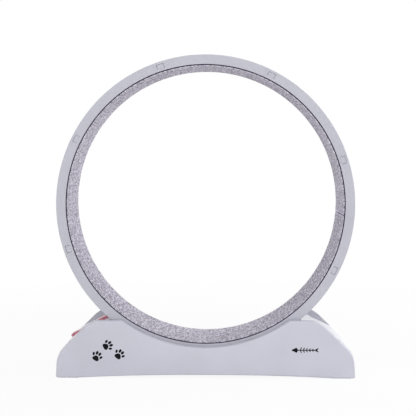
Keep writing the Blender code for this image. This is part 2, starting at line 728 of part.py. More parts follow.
def slide_block(along_range, half_width, above_range):
    """Points and faces of a block square to the slide's slope."""
    points = []
    for along in along_range:
        for depth, above in ((-half_width, above_range[0]), (half_width, above_range[0]),
                             (half_width, above_range[1]), (-half_width, above_range[1])):
            points.append(slide_point(along, depth, above))
    return points, loop_faces(2, 4, closed=False)


def slide_prism(outline, half_width):
    """Points and faces of an outline of (along, above) drawn out to both sides."""
    points = [slide_point(along, depth, above) for depth in (-half_width, half_width)
              for along, above in outline]
    return points, loop_faces(2, len(outline), closed=False)


def make_slide(looks):
    """The slide with its wide head, and the rubber pad on the head's end, cut to the ring."""
    head_start = slide_places()[0]
    tip = -SLIDE_TIP_LENGTH
    outline = [(tip + SLIDE_TIP_CHAMFER, BAR_TOP), (tip, BAR_TOP - SLIDE_TIP_DROP),
               (tip, -SLIDE_THICKNESS), (head_start - BOND, -SLIDE_THICKNESS),
               (head_start + BOND, -SLIDE_THICKNESS + BOND), (head_start + BOND, BAR_TOP)]
    points, faces = slide_prism(outline, SLIDE_WIDTH / 2)
    slide = solid("lock_slide", points, faces, looks["pink"])
    behind_pad = PAD_THICKNESS + GAP
    head = [(head_start, 0.0), (pad_end(0.0) - behind_pad, 0.0),
            (pad_end(-SLIDE_THICKNESS) - behind_pad, -SLIDE_THICKNESS),
            (head_start, -SLIDE_THICKNESS)]
    join(slide, joined_solid("lock_slide_head", [slide_prism(head, SLIDE_HEAD_WIDTH / 2)], None))

    inner_corner = pad_end(PAD_TOP) - PAD_THICKNESS
    pad = [(inner_corner - PAD_LIP_LENGTH, PAD_TOP), (inner_corner, PAD_TOP),
           (pad_end(-PAD_TOP_SINK) - PAD_THICKNESS, -PAD_TOP_SINK),
           (pad_end(-PAD_TOP_SINK), -PAD_TOP_SINK), (pad_end(PAD_FLOOR), PAD_FLOOR),
           (inner_corner - PAD_LIP_LENGTH, PAD_FLOOR)]
    points, faces = slide_prism(pad, SLIDE_HEAD_WIDTH / 2)
    solid("brake_pad", points, faces, looks["rubber"])


def make_slide_guide(look):
    """A trough let into the cover, in which the slide runs."""
    head_start = slide_places()[0]
    inner = SLIDE_WIDTH / 2 + GAP
    outer = inner + GUIDE_WALL
    top = GUIDE_WALL_RISE - SLIDE_THICKNESS
    floor = -SLIDE_THICKNESS - GAP
    section = [(-outer, floor - GUIDE_WALL), (outer, floor - GUIDE_WALL), (outer, top), (inner, top),
               (inner, floor), (-inner, floor), (-inner, top), (-outer, top)]
    points = [slide_point(along, depth, above) for along in (head_start - GUIDE_LENGTH, head_start)
              for depth, above in section]
    solid("slide_guide", points, loop_faces(2, len(section), closed=False), look)
    return outer


def make_bridge(look, guide_half_width):
    """The strap that holds the slide down, standing on the cover on both sides of it."""
    bridge_start, bridge_end = slide_places()[1:]
    knee, slope = cover_path()[1:]
    tunnel = guide_half_width + GUIDE_SIDE_GAP
    low_top = slide_point(bridge_start, 0.0, BRIDGE_TOP)
    high_top = slide_point(bridge_end, 0.0, BRIDGE_TOP)

    def on_cover(x):
        return (x, knee[1] + (knee[0] + x) * math.tan(slope) + 2 * GAP)

    outline = [(low_top.x, low_top.z), (high_top.x, high_top.z),
               on_cover(high_top.x), on_cover(low_top.x)]
    half = tunnel + BRIDGE_CHEEK
    bridge = prism("slide_bridge", outline, -half, half, look)
    hollow = slide_block((bridge_start - BRIDGE_LENGTH, bridge_end + BRIDGE_LENGTH), tunnel,
                         (-PANEL_HEIGHT, TUNNEL_TOP))
    cut(bridge, joined_solid("slide_tunnel", [hollow], None))


def cut_slide_slots(cover, guide_half_width):
    """Room in the left cover for the slide's tip, its guide and its head with the pad."""
    head_start = slide_places()[0]
    guide_start = head_start - GUIDE_LENGTH - GUIDE_SIDE_GAP
    floor = -SLIDE_THICKNESS - GUIDE_SIDE_GAP
    tip_slot = slide_block((-SLIDE_TIP_LENGTH - GUIDE_SIDE_GAP, guide_start + OVERRUN),
                           SLIDE_WIDTH / 2 + GUIDE_SIDE_GAP, (floor, PANEL_HEIGHT))
    guide_slot = slide_block((guide_start, head_start + GUIDE_SIDE_GAP),
                             guide_half_width + GUIDE_SIDE_GAP,
                             (floor - GUIDE_WALL - GAP, PANEL_HEIGHT))
    head_slot = slide_block((head_start - GUIDE_SIDE_GAP, head_start + PANEL_HEIGHT),
                            SLIDE_HEAD_WIDTH / 2 + GUIDE_SIDE_GAP,
                            (PAD_FLOOR - GUIDE_SIDE_GAP, PANEL_HEIGHT))
    cut(cover, joined_solid("tip_slot", [tip_slot], None))
    cut(cover, joined_solid("guide_slot", [guide_slot], None))
    cut(cover, joined_solid("head_slot", [head_slot], None))


# The whole object

def build():
    clear_scene()
    looks = {
        "body": material("moulded_grey", (0.57, 0.57, 0.64), 0.42),
        "cover": material("moulded_white", (0.80, 0.79, 0.85), 0.40),
        "hub": material("white_nylon", (0.72, 0.72, 0.70), 0.45),
        "carpet": material("grey_carpet", (0.40, 0.39, 0.44), 0.95),
        "rubber": material("black_rubber", (0.02, 0.02, 0.022), 0.75),
        "steel": material("steel", (0.62, 0.62, 0.64), 0.30, 1.0),
        "pink": material("moulded_pink", (0.56, 0.27, 0.33), 0.42),
    }
    axis = pivot("ring_axis", RING_CENTRE)
    for number in range(SEGMENT_COUNT):
        make_segment(number, looks["body"], axis)
    for number in range(CARPET_COUNT):
        make_carpet(number, looks["carpet"], axis)

    corners = ((-1, -1), (1, -1), (1, 1), (-1, 1))
    for number, (across, along) in enumerate(corners, start=1):
        make_roller(number, across, along, looks)
    for side_name, across in (("left", -1), ("right", 1)):
        make_axle(side_name, across, looks)
        make_beam(f"{side_name}_tie_beam", across, looks["body"])
    for side_name, side in (("front", -1), ("rear", 1)):
        make_shell(f"{side_name}_panel", side, looks["body"])
        make_plate(f"{side_name}_inner_plate", side, looks["body"])
        make_screws(f"{side_name}_panel_screw", side, looks["steel"])
    make_feet(looks["rubber"])

    make_cover("right_end_cover", 1, looks["cover"])
    left_cover = make_cover("left_end_cover", -1, looks["cover"])
    guide_half_width = make_slide_guide(looks["cover"])
    cut_slide_slots(left_cover, guide_half_width)
    make_bridge(looks["cover"], guide_half_width)
    make_slide(looks)


build()
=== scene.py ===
"""Looks of a cat exercise wheel: a carpet-lined ring of eight moulded segments on rollers
in a low two-sided base, with a sliding lock on the left end.

Metres, +Z up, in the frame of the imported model: the origin is on the floor under the
middle, +X to the right, and the ring's axis runs along Y. Angles about the ring are
degrees clockwise from the top, seen from the front.
"""

import json
import math

import bmesh
import bpy
from mathutils import Matrix, Vector, noise


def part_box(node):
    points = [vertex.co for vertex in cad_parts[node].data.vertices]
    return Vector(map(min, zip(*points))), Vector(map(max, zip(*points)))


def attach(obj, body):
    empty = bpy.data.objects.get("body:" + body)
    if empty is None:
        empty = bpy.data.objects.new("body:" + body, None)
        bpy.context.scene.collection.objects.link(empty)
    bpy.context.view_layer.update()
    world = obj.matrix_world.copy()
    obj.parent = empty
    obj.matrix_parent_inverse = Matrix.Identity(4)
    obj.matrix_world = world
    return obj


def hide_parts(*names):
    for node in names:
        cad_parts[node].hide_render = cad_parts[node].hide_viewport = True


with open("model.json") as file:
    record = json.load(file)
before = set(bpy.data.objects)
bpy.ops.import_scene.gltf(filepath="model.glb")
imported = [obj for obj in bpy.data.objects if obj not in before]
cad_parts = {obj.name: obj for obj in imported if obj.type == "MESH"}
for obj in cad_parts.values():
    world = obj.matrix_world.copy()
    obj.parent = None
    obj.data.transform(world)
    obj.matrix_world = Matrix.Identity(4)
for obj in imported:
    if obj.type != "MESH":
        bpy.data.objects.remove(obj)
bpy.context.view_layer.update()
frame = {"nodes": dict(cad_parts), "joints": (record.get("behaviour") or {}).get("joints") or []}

# Ring
RING_RADIUS = 0.455
RIM_DEPTH = 0.029
TRACK_WALL = 0.0035
FLANGE_WALL = 0.0035
HALF_RING_WIDTH = 0.125
TRACK_INNER_RADIUS = RING_RADIUS - RIM_DEPTH
TRACK_OUTER_RADIUS = TRACK_INNER_RADIUS + TRACK_WALL
FLANGE_INNER = HALF_RING_WIDTH - FLANGE_WALL
SEGMENT_COUNT = 8
SEGMENT_DEGREES = 360.0 / SEGMENT_COUNT
FIRST_SEAM_DEGREES = 24.5
FINE_STEP_DEGREES = 1.25
SEAM_GAP = 0.0002
GUIDE_RIB = (0.091, 0.0025, 0.008)      # place of the inner side, wall, height
BRAKE_RIB = (0.026, 0.003, RING_RADIUS - TRACK_OUTER_RADIUS)
END_WALL = 0.003
END_WALL_HEIGHT = 0.014
RIM_INNER_ROUND = 0.0010
RIM_OUTER_ROUND = 0.0016
NOTCH_LENGTH = 0.006
NOTCH_DEPTH = 0.0012
NOTCH_WIDTH = 0.0008

# Latch tongues and their windows
BUTTON_OFFSET_DEGREES = 2.5
BUTTON_LENGTH = 0.021
BUTTON_HEIGHT = 0.012
BUTTON_RADIUS = RING_RADIUS - 0.0085 - BUTTON_HEIGHT / 2
BUTTON_SINK = 0.0008
WINDOW_GAP = 0.0012
BUTTON_HINGE_GAP = 0.0002
TONGUE_ROOT = 0.022
TONGUE_WALL = 0.0028
TONGUE_LEDGE = 0.0020

# Carpet
CARPET_THICKNESS = 0.006
CARPET_HALF_WIDTH = 0.123
CARPET_SEAMS_DEGREES = (94.5, 274.5)
CARPET_SEAM_GAPS = (0.0006, 0.0024)     # at the end of each length: left, right
CARPET_CELL = 0.004
PILE_HEIGHT = 0.0031
PILE_DEPTH = 0.0010
PILE_GRAIN = 0.0045
PILE_LUMP = 0.0007
PILE_LUMP_GRAIN = 0.016
PILE_LUMP_PLACE = Vector((7.0, 3.0, 1.0))
SEAM_PRESS_SHARE = 0.25
SEAM_PRESS_DEGREES = 1.2
EDGE_ROUND = 0.0012
EDGE_CURVE = EDGE_ROUND * 0.3
EDGE_FRAY = 0.0005
EDGE_FRAY_GRAIN = 0.003

# Base
PANEL_HALF_LENGTH = 0.456
PANEL_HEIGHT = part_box("front_panel")[1].z
PANEL_INNER_PLACE = 0.129
PANEL_OUTER_PLACE = 0.155
PLATE_OUTER_PLACE = 0.132
PRINT_DEPTH = 0.0002
PANEL_FACE_PLACE = PANEL_OUTER_PLACE - PRINT_DEPTH
PANEL_EDGE_ROUND = 0.0050
PANEL_WALL = 0.003
FOOT_END_ROUND = 0.0054
CUTOUT_END_ROUND = 0.0102
SHOULDER_ROUND = 0.080
CUTOUT_RADIUS = TRACK_INNER_RADIUS + 0.008
FOOT_THICKNESS = 0.0015
ARCH_RISE = 0.0090
ARCH_END_SHARE = 0.845
ARCH_POWER = 2.4
ARCH_STEPS = 48
PANEL_DRAFT_SHARE = 0.9985
PANEL_SHOULDER_SHARES = (
    (0.993, 0.271), (0.986, 0.366), (0.968, 0.461), (0.924, 0.575),
    (0.801, 0.891), (0.758, 0.965), (0.724, 1.000),
)
SLOPE_LOW_INDEX = 3
SCREW_PLACES_SHARES = ((-0.90, 0.30), (-0.24, 0.30), (0.24, 0.30), (0.90, 0.30))
SCREW_RADIUS = 0.0020
SOCKET_RADIUS = 0.009
SOCKET_END = 0.1515

# Covers
COVER_WALL = 0.003
COVER_LIP = 0.007
COVER_RISE = 0.0015
COVER_KNEE_PLACE = 0.8933 * PANEL_HALF_LENGTH
COVER_INNER_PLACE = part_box("right_end_cover")[0].x + COVER_LIP
COVER_TOP = PANEL_HEIGHT - 0.0052
COVER_SKIRT_HEIGHT = 0.060
COVER_END_HEIGHT = 0.010
COVER_HALF_WIDTH = 0.1287
KNEE_ROUND = 0.030
COVER_LIP_ROUND = 0.0012

# Lock slide, its guide and its bridge
SLIDE_LIFT_DEGREES = 0.6
SLIDE_KNEE_RISE = 0.0092
SLIDE_TIP_LENGTH = 0.0245
SLIDE_TIP_DROP = 0.0018
SLIDE_TIP_CHAMFER = 0.004
SLIDE_EDGE = 0.0010
SLIDE_THICKNESS = 0.0125
SLIDE_BAR_DROP = 0.0040
SLIDE_WIDTH = 0.034
SLIDE_HEAD_WIDTH = 0.060
SLIDE_HEAD_LENGTH = 0.035
SLIDE_HEAD_ROOT = 0.003
SLIDE_TRAVEL = 0.012
GRIP_COUNT = 4
GRIP_START = 0.009
GRIP_PITCH = 0.0034
GRIP_DEPTH = 0.0006
GRIP_HALF_WIDTH = SLIDE_WIDTH * 0.4
INNER_EDGE_SHARE = 0.9                  # of the radius of an outline's corners
PAD_THICKNESS = 0.004
PAD_LIP_THICKNESS = 0.0022
PAD_LIP_LENGTH = 0.012
PAD_STOP_GAP = 0.0006
PAD_TOP_SINK = 0.0005
PAD_EDGE = 0.0008
GUIDE_WALL = 0.0025
GUIDE_LENGTH = 0.068
GUIDE_SIDE_GAP = 0.0005
GUIDE_HALF_WIDTH = (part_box("slide_guide")[1].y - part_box("slide_guide")[0].y) / 2
BRIDGE_LENGTH = 0.056
BRIDGE_WALL = 0.0024
BRIDGE_CHEEK = 0.006
BRIDGE_HEAD_GAP = 0.003
BRIDGE_ROUND = 0.0025
BRIDGE_EDGE = 0.0015
BRIDGE_EDGE_CURVE = BRIDGE_EDGE * 0.3

# Rollers and axles
AXLE_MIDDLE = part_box("right_axle")[0].lerp(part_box("right_axle")[1], 0.5)
ROLLER_RADIUS = 0.034
ROLLER_SIDES = 72
SHAFT_SIDES = 40
TYRE_THICKNESS = 0.006
TREAD_GROOVE = 0.0012
TYRE_ROUND = 0.0022
HUB_WEB_RADIUS = 0.008
HUB_RECESS = 0.0025
HUB_HOLES = 6
HUB_HOLE_RADIUS = 0.0032
BOSS_OUTER = 0.0138
BEARING_RADIUS = 0.011
BEARING_WIDTH = 0.007
INNER_RACE_RADIUS = 0.0060
OUTER_RACE_RADIUS = 0.0093
SHIELD_SINK = 0.0005
AXLE_RADIUS = 0.004
AXLE_CHAMFER = 0.0006
SPACER_RADIUS = 0.0065

# Prints: a paw's ovals are in shares of its size, as (place, half sizes, lean, lobes)
PRINT_STEP = 0.00001
OVAL_POINTS = 28
PAW_SHARES = (
    ((0.0, -0.14), (0.27, 0.22), 0.0, 0.10),
    ((-0.34, 0.12), (0.095, 0.145), 24.0, 0.0),
    ((-0.125, 0.31), (0.105, 0.160), 8.0, 0.0),
    ((0.125, 0.31), (0.105, 0.160), -8.0, 0.0),
    ((0.34, 0.12), (0.095, 0.145), -24.0, 0.0),
)
PAW_PLACES = (
    ((-0.330, 0.0660), 0.037, -30.0),
    ((-0.298, 0.1000), 0.037, -62.0),
    ((-0.262, 0.0720), 0.037, -38.0),
)
BONE_CENTRE = (0.3025, 0.0879)
BONE_SIZE = (0.086, 0.019, 0.0028)      # length, height, width of a stroke

# Parts of the fish bone in shares of its length and height
BONE_SPINE = (-0.30, 0.34)
BONE_RIB_COUNT = 5
BONE_RIB_START = -0.16
BONE_RIB_PITCH = 0.105
BONE_RIB_LEAN = 0.16
BONE_RIB_REACH = 0.46
BONE_RIB_TAPER = 0.062
BONE_ENDS = (
    (((-0.50, 0.0), (-0.29, -0.44), (-0.25, 0.0), (-0.29, 0.44)), 0.10),
    (((0.32, 0.0), (0.50, 0.46), (0.43, 0.0), (0.50, -0.46)), 0.06),
)

# Camera, floor and light
PHOTO_PIXELS = 416
CAMERA_FOCAL_PIXELS = 1103.0
CAMERA_SENSOR = 36.0
CAMERA_REACH = 60.0
CAMERA_PLACE = (0.0627, -3.474, 0.6844)
CAMERA_DOWN_DEGREES = 2.8525
CAMERA_LEFT_DEGREES = 0.935
FLOOR_HALF_SIZE = 9.0
FLOOR_WHITE_SHARE = 0.92
FLOOR_WHITE_PLACES = (0.9, 2.6)         # how far out its fade to pure white starts and ends
WORLD_STRENGTH = 0.45
LAMP_AIM = Vector((0.0, 0.0, 0.45))
LAMPS = (
    ("front", (0.0, -4.6, 0.6), 2.6, 28.0),
    ("high_left", (-2.6, -2.6, 2.8), 2.4, 42.0),
    ("high_right", (2.6, -2.6, 2.8), 2.4, 39.0),
    ("side", (3.2, 0.6, 2.2), 2.2, 40.0),
    ("behind", (2.6, 2.0, 1.2), 2.0, 14.0),
)

# Clearance, and heights above the slide's line that follow from the sizes
GAP = 0.0003
BAR_TOP = -SLIDE_BAR_DROP
TUNNEL_TOP = BAR_TOP + GAP
BRIDGE_TOP = TUNNEL_TOP + BRIDGE_WALL
PAD_TOP = -SLIDE_THICKNESS - GAP
PAD_FLOOR = PAD_TOP - PAD_LIP_THICKNESS
RING_CENTRE = Vector(next(joint for joint in frame["joints"] if joint["name"] == "wheel_spin")["pos_m"])

# Colours, in linear light
GREY = (0.542, 0.541, 0.610)
# Covers, strap and guide: a plastic a little paler than the grey, painted much lighter for the light
# from above on their upward slopes.
PALE_WITH_PAINTED_LIGHT = (0.818, 0.814, 0.856)
PANEL_GREY = (0.612, 0.613, 0.694)
PINK = (0.590, 0.205, 0.270)
NYLON = (0.700, 0.700, 0.680)
RUBBER = (0.022, 0.022, 0.024)
STEEL = (0.600, 0.600, 0.610)
PILE_LIGHT = (0.892, 0.854, 0.972)
PILE_DARK = (0.162, 0.140, 0.202)
# Near-black backing: real dark foam, painted darker still as the shade in the gaps at the carpet's
# edges and seams.
BACKING_AND_GAP_SHADE = (0.030, 0.026, 0.042)
PRINT_BLACK = (0.004, 0.004, 0.006)
PURE_WHITE = (1.0, 1.0, 1.0, 1.0)
FLOOR_GREYS = ((0.85, 0.85, 0.85), (0.86, 0.86, 0.86), (0.87, 0.87, 0.87))


# Materials

def tint(colour, factor):
    return tuple(channel * factor for channel in colour)


def feed(tree, node, inputs):
    """Link inputs of a node to other nodes' outputs, or set them to fixed values."""
    for name, value in inputs.items():
        if isinstance(value, bpy.types.NodeSocket):
            tree.links.new(value, node.inputs[name])
        else:
            node.inputs[name].default_value = value


def add_node(tree, kind, inputs):
    node = tree.nodes.new("ShaderNode" + kind)
    feed(tree, node, inputs)
    return node


class Shader:
    """A Principled material and short ways to add nodes to it."""

    def __init__(self, name, colour, roughness, specular=0.5, metallic=0.0):
        self.material = bpy.data.materials.new(name)
        self.material.use_nodes = True
        self.colour = colour
        self.tree = self.material.node_tree
        self.bsdf = self.tree.nodes["Principled BSDF"]
        self.surface({"Base Color": (*colour, 1.0), "Roughness": roughness, "Metallic": metallic,
                      "Specular IOR Level": specular})
        self.place = add_node(self.tree, "TexCoord", {}).outputs["Object"]

    def surface(self, inputs):
        feed(self.tree, self.bsdf, inputs)

    def noise(self, size, detail=2.0, roughness=0.5, stretch=None):
        source = self.place
        if stretch is not None:
            source = add_node(self.tree, "Mapping", {"Vector": source, "Scale": stretch}).outputs[0]
        return add_node(self.tree, "TexNoise", {"Vector": source, "Scale": 1.0 / size,
                                                "Detail": detail, "Roughness": roughness}).outputs[0]

    def ramp(self, value, stops):
        node = add_node(self.tree, "ValToRGB", {"Fac": value})
        elements = node.color_ramp.elements
        while len(elements) < len(stops):
            elements.new(0.5)
        for element, (place, colour) in zip(elements, stops):
            element.position = place
            element.color = (*colour, 1.0)
        return node.outputs["Color"]

    def mottle(self, value, *stops):
        """Let the base colour follow a value: its own colour times a factor at each place."""
        stops = [(place, tint(self.colour, factor)) for place, factor in stops]
        self.surface({"Base Color": self.ramp(value, stops)})

    def spread(self, value, low, high, from_low=0.3, from_high=0.7):
        return add_node(self.tree, "MapRange", {"Value": value, "From Min": from_low,
                                                "From Max": from_high, "To Min": low,
                                                "To Max": high}).outputs["Result"]

    def mix(self, share, first, second):
        """The first colour with a fixed share of the second."""
        node = add_node(self.tree, "Mix", {0: share, 6: first, 7: second})
        node.data_type = "RGBA"
        return node.outputs[2]

    def bump(self, value, depth, strength=1.0):
        """Add a layer of bumps over those that are there."""
        inputs = {"Height": value, "Distance": depth, "Strength": strength}
        below = self.bsdf.inputs["Normal"].links
        if below:
            inputs["Normal"] = below[0].from_socket
        self.surface({"Normal": add_node(self.tree, "Bump", inputs).outputs["Normal"]})


def plastic(name, colour, roughness, grain=0.00035):
    """Moulded plastic: a fine sparked texture, faint flow shades and uneven gloss."""
    shader = Shader(name, colour, roughness, specular=0.42)
    shader.mottle(shader.noise(0.11, detail=3.0), (0.35, 0.975), (0.65, 1.02))
    cloud = shader.noise(0.018, detail=4.0)
    shader.surface({"Roughness": shader.spread(cloud, roughness - 0.04, roughness + 0.05)})
    shader.bump(shader.noise(grain, detail=1.0), 0.00002)
    shader.bump(shader.noise(0.035, detail=1.0), 0.00006, 0.5)
    return shader.material


def rubber(name, colour, roughness):
    """Black rubber with a matt skin and a dusting of lint on it."""
    shader = Shader(name, colour, roughness)
    shader.mottle(shader.noise(0.0025, detail=5.0, roughness=0.7), (0.48, 1.0), (0.80, 2.6))
    shader.bump(shader.noise(0.0006), 0.00004)
    return shader.material


def steel(name, colour, roughness):
    """Zinc-plated steel with fine turning marks round its length."""
    shader = Shader(name, colour, roughness, metallic=1.0)
    marks = shader.noise(0.0012, detail=3.0, stretch=(0.2, 4.0, 0.2))
    shader.surface({"Roughness": shader.spread(marks, roughness - 0.08, roughness + 0.12)})
    shader.bump(marks, 0.00001)
    return shader.material


def carpet_pile(name, light, dark):
    """Needle-felt pile: tufts of light and dark fibres lying across the track, over soft lumps."""
    shader = Shader(name, light, 0.95, specular=0.15)
    shader.surface({"Sheen Weight": 0.25, "Sheen Roughness": 0.6})
    tufts = shader.noise(0.0060, detail=1.0, roughness=0.6, stretch=(1.0, 0.34, 1.0))
    flecks = shader.noise(0.0030, detail=2.0, roughness=0.6, stretch=(1.0, 0.45, 1.0))
    fibres = shader.noise(0.0008, detail=4.0, roughness=0.75)
    lumps = shader.noise(0.0110, detail=3.0, roughness=0.65)
    middle = tuple((a + b) / 2 for a, b in zip(light, dark))
    stops = ((0.44, dark), (0.50, middle), (0.56, light))
    colour = shader.ramp(tufts, stops)
    for value, share in ((flecks, 0.35), (fibres, 0.12), (lumps, 0.12)):
        colour = shader.mix(share, colour, shader.ramp(value, stops))
    shader.surface({"Base Color": colour})
    for value, depth, strength in ((lumps, 0.0012, 0.8), (tufts, 0.0010, 0.8), (fibres, 0.0004, 0.9)):
        shader.bump(value, depth, strength)
    return shader.material


def backing_and_gap_shade(name, colour):
    """Dark foam backing of the carpet, seen at its cut edges and seam ends, made near black as painted
    shade for the gaps beside them.
    """
    shader = Shader(name, colour, 0.9, specular=0.20)
    cells = shader.noise(0.0009, detail=3.0)
    shader.mottle(cells, (0.35, 0.6), (0.7, 1.6))
    shader.bump(cells, 0.0003)
    return shader.material


def ink(name, colour):
    """Printed ink: thin, matt and faintly mottled."""
    shader = Shader(name, colour, 0.60, specular=0.12)
    shader.mottle(shader.noise(0.0012, detail=3.0), (0.3, 0.9), (0.7, 1.15))
    return shader.material


LOOKS = {
    "grey": plastic("moulded_grey_look", GREY, 0.44),
    "panel_grey": plastic("moulded_panel_look", PANEL_GREY, 0.42),
    # Slightly paler plastic with painted light from above laid into its colour.
    "white": plastic("moulded_pale_painted_light_look", PALE_WITH_PAINTED_LIGHT, 0.36),
    "pink": plastic("moulded_pink_look", PINK, 0.26),
    "nylon": plastic("nylon_look", NYLON, 0.38, grain=0.0009),
    "rubber": rubber("rubber_look", RUBBER, 0.78),
    "steel": steel("steel_look", STEEL, 0.28),
    "pile": carpet_pile("carpet_pile_look", PILE_LIGHT, PILE_DARK),
    "seam_pile": carpet_pile("carpet_seam_look", tint(PILE_LIGHT, 1.02), tint(PILE_DARK, 3.00)),
    "backing_and_gap_shade": backing_and_gap_shade("carpet_backing_and_gap_shade_look", BACKING_AND_GAP_SHADE),
    "black_ink": ink("black_ink_look", PRINT_BLACK),
}


# Meshes

def placed(name, data):
    """An object for a mesh, lamp or camera, put into the scene."""
    made = bpy.data.objects.new(name, data)
    bpy.context.scene.collection.objects.link(made)
    return made


def tool(name, points, faces):
    """An object from points and faces, used bare for the floor and as a Boolean's helper."""
    mesh = bpy.data.meshes.new(name)
    mesh.from_pydata([tuple(point) for point in points], [], faces)
    work = bmesh.new()
    work.from_mesh(mesh)
    bmesh.ops.recalc_face_normals(work, faces=work.faces[:])
    work.to_mesh(mesh)
    work.free()
    return placed(name, mesh)


def shade(mesh, smooth_degrees=35.0):
    mesh.shade_smooth()
    mesh.set_sharp_from_angle(angle=math.radians(smooth_degrees))


def piece(name, points, faces, look, body, slot, smooth_degrees=35.0):
    """One visible piece from points and faces, riding on a body of the frame."""
    made = tool(name, points, faces)
    shade(made.data, smooth_degrees)
    made.data.materials.append(LOOKS[look])
    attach(made, body)
    return made


def apply_changes(target):
    """Replace an object's mesh by the one that its modifiers give."""
    graph = bpy.context.evaluated_depsgraph_get()
    finished = bpy.data.meshes.new_from_object(target.evaluated_get(graph),
                                               preserve_all_data_layers=True, depsgraph=graph)
    old = target.data
    target.modifiers.clear()
    target.data = finished
    bpy.data.meshes.remove(old)


def shape_with(target, tools=()):
    """Join or cut helper meshes, given as (object, operation), and shade the result."""
    for helper, operation in tools:
        change = target.modifiers.new(helper.name, "BOOLEAN")
        change.operation = operation
        change.solver = "EXACT"
        change.object = helper
    if tools:
        apply_changes(target)
    for helper, _ in tools:
        bpy.data.objects.remove(helper, do_unlink=True)
    shade(target.data)
    target.modifiers.new("flat_faces", "WEIGHTED_NORMAL").keep_sharp = True
    apply_changes(target)
    return target


def loop_faces(rings, sides, closed=False):
    """Faces between rings of points, joined round or with an end face on the first and last."""
    faces = []
    for ring in range(rings if closed else rings - 1):
        following = (ring + 1) % rings
        for side in range(sides):
            beside = (side + 1) % sides
            faces.append((ring * sides + side, ring * sides + beside,
                          following * sides + beside, following * sides + side))
    if not closed:
        faces.append(tuple(range(sides)))
        faces.append(tuple(range((rings - 1) * sides, rings * sides)))
    return faces


def gather(parts):
    """Points and faces of several parts as one list of each."""
    points = []
    faces = []
    for part_points, part_faces in parts:
        start = len(points)
        points.extend(part_points)
        faces.extend(tuple(start + index for index in face) for face in part_faces)
    return points, faces


def left_shift(first, second):
    """How a corner between two directions moves when both sides move one unit to the left."""
    first_left = Vector((-first.y, first.x))
    second_left = Vector((-second.y, second.x))
    return (first_left + second_left) / (1.0 + first_left.dot(second_left))


def inset(outline, distance):
    """Move every side of a closed outline inward by a distance."""
    area = sum(a[0] * b[1] - b[0] * a[1] for a, b in zip(outline, outline[1:] + outline[:1]))
    if area < 0:
        distance = -distance
    moved = []
    for index, point in enumerate(outline):
        here = Vector(point)
        first = (here - Vector(outline[index - 1])).normalized()
        second = (Vector(outline[(index + 1) % len(outline)]) - here).normalized()
        moved.append(tuple(here + left_shift(first, second) * distance))
    return moved


def rounded(outline, radii, steps=4, closed=True):
    """Round the corners of an outline, or of an open path, with a radius for each corner."""
    if not isinstance(radii, (list, tuple)):
        radii = [radii] * len(outline)
    made = []
    for index, point in enumerate(outline):
        here = Vector(point)
        before = Vector(outline[index - 1]) - here
        after = Vector(outline[(index + 1) % len(outline)]) - here
        corner = before.angle(after)
        at_end = not closed and index in (0, len(outline) - 1)
        if at_end or radii[index] <= 0.0 or corner > math.radians(179.0):
            made.append(tuple(here))
            continue
        cut = min(radii[index] / math.tan(corner / 2), 0.49 * min(before.length, after.length))
        radius = cut * math.tan(corner / 2)
        way = (before.normalized() + after.normalized()).normalized()
        centre = here + way * (radius / math.sin(corner / 2))
        start = here + before.normalized() * cut - centre
        end = here + after.normalized() * cut - centre
        first = math.atan2(start.y, start.x)
        swing = math.remainder(math.atan2(end.y, end.x) - first, math.tau)
        for step in range(steps + 1):
            turn = first + swing * step / steps
            made.append((centre.x + radius * math.cos(turn), centre.y + radius * math.sin(turn)))
    return made


def strip(path, wall):
    """Closed outline of a bent sheet: an open path and the same path, one wall to its left."""
    ways = [(Vector(end) - Vector(start)).normalized() for start, end in zip(path, path[1:])]
    moved = [tuple(Vector(point) + left_shift(first, second) * wall)
             for point, first, second in zip(path, ways[:1] + ways, ways + ways[-1:])]
    return list(path) + moved[::-1]


def mirrored(profile):
    """A profile of (radius, depth), followed by its mirror image at the other depth."""
    return profile + [(radius, -depth) for radius, depth in reversed(profile)]


def prism_points(outline, low, high):
    """Points and faces of an outline of (x, z) drawn out along Y."""
    points = [(x, low, z) for x, z in outline] + [(x, high, z) for x, z in outline]
    return points, loop_faces(2, len(outline))


def pillow_points(outline, half_width, edge, steps=4):
    """An outline drawn out to both sides along Y, with the edges at both ends rounded."""
    turns = [math.pi / 2 * step / steps for step in range(steps + 1)]
    rings = mirrored([(edge * (1 - math.sin(turn)), edge * (1 - math.cos(turn)) - half_width)
                      for turn in turns])
    points = [(x, depth, z) for distance, depth in rings for x, z in inset(outline, distance)]
    return points, loop_faces(len(rings), len(outline))


def lathe(place, rings, sides, side=1):
    """Points and faces of a solid of circles (radius, depth) about an axis along Y."""
    points = []
    for radius, depth in rings:
        for index in range(sides):
            turn = math.tau * index / sides
            points.append((place[0] + radius * math.cos(turn), side * depth,
                           place[1] + radius * math.sin(turn)))
    return points, loop_faces(len(rings), sides)


def pins(places, radius, depths, sides, side=1):
    """Points and faces of equal rods along Y."""
    return gather([lathe(place, [(radius, depth) for depth in depths], sides, side)
                   for place in places])


def clock_point(radius, degrees, depth=0.0):
    """A point about the ring's axis, at an angle clockwise from the top."""
    turn = math.radians(degrees)
    return Vector((radius * math.sin(turn), depth, radius * math.cos(turn)))


def turned(x, z, turn, centre):
    """A point (x, z), turned by an angle in radians and moved to a centre."""
    return (centre[0] + x * math.cos(turn) - z * math.sin(turn),
            centre[1] + x * math.sin(turn) + z * math.cos(turn))


def tube_points(centre, profile, sides):
    """Points and faces of a ring with a closed profile of (radius, depth) about centre."""
    points = [centre + clock_point(radius, 360.0 * index / sides, depth)
              for index in range(sides) for radius, depth in profile]
    return points, loop_faces(sides, len(profile), closed=True)


# Running ring

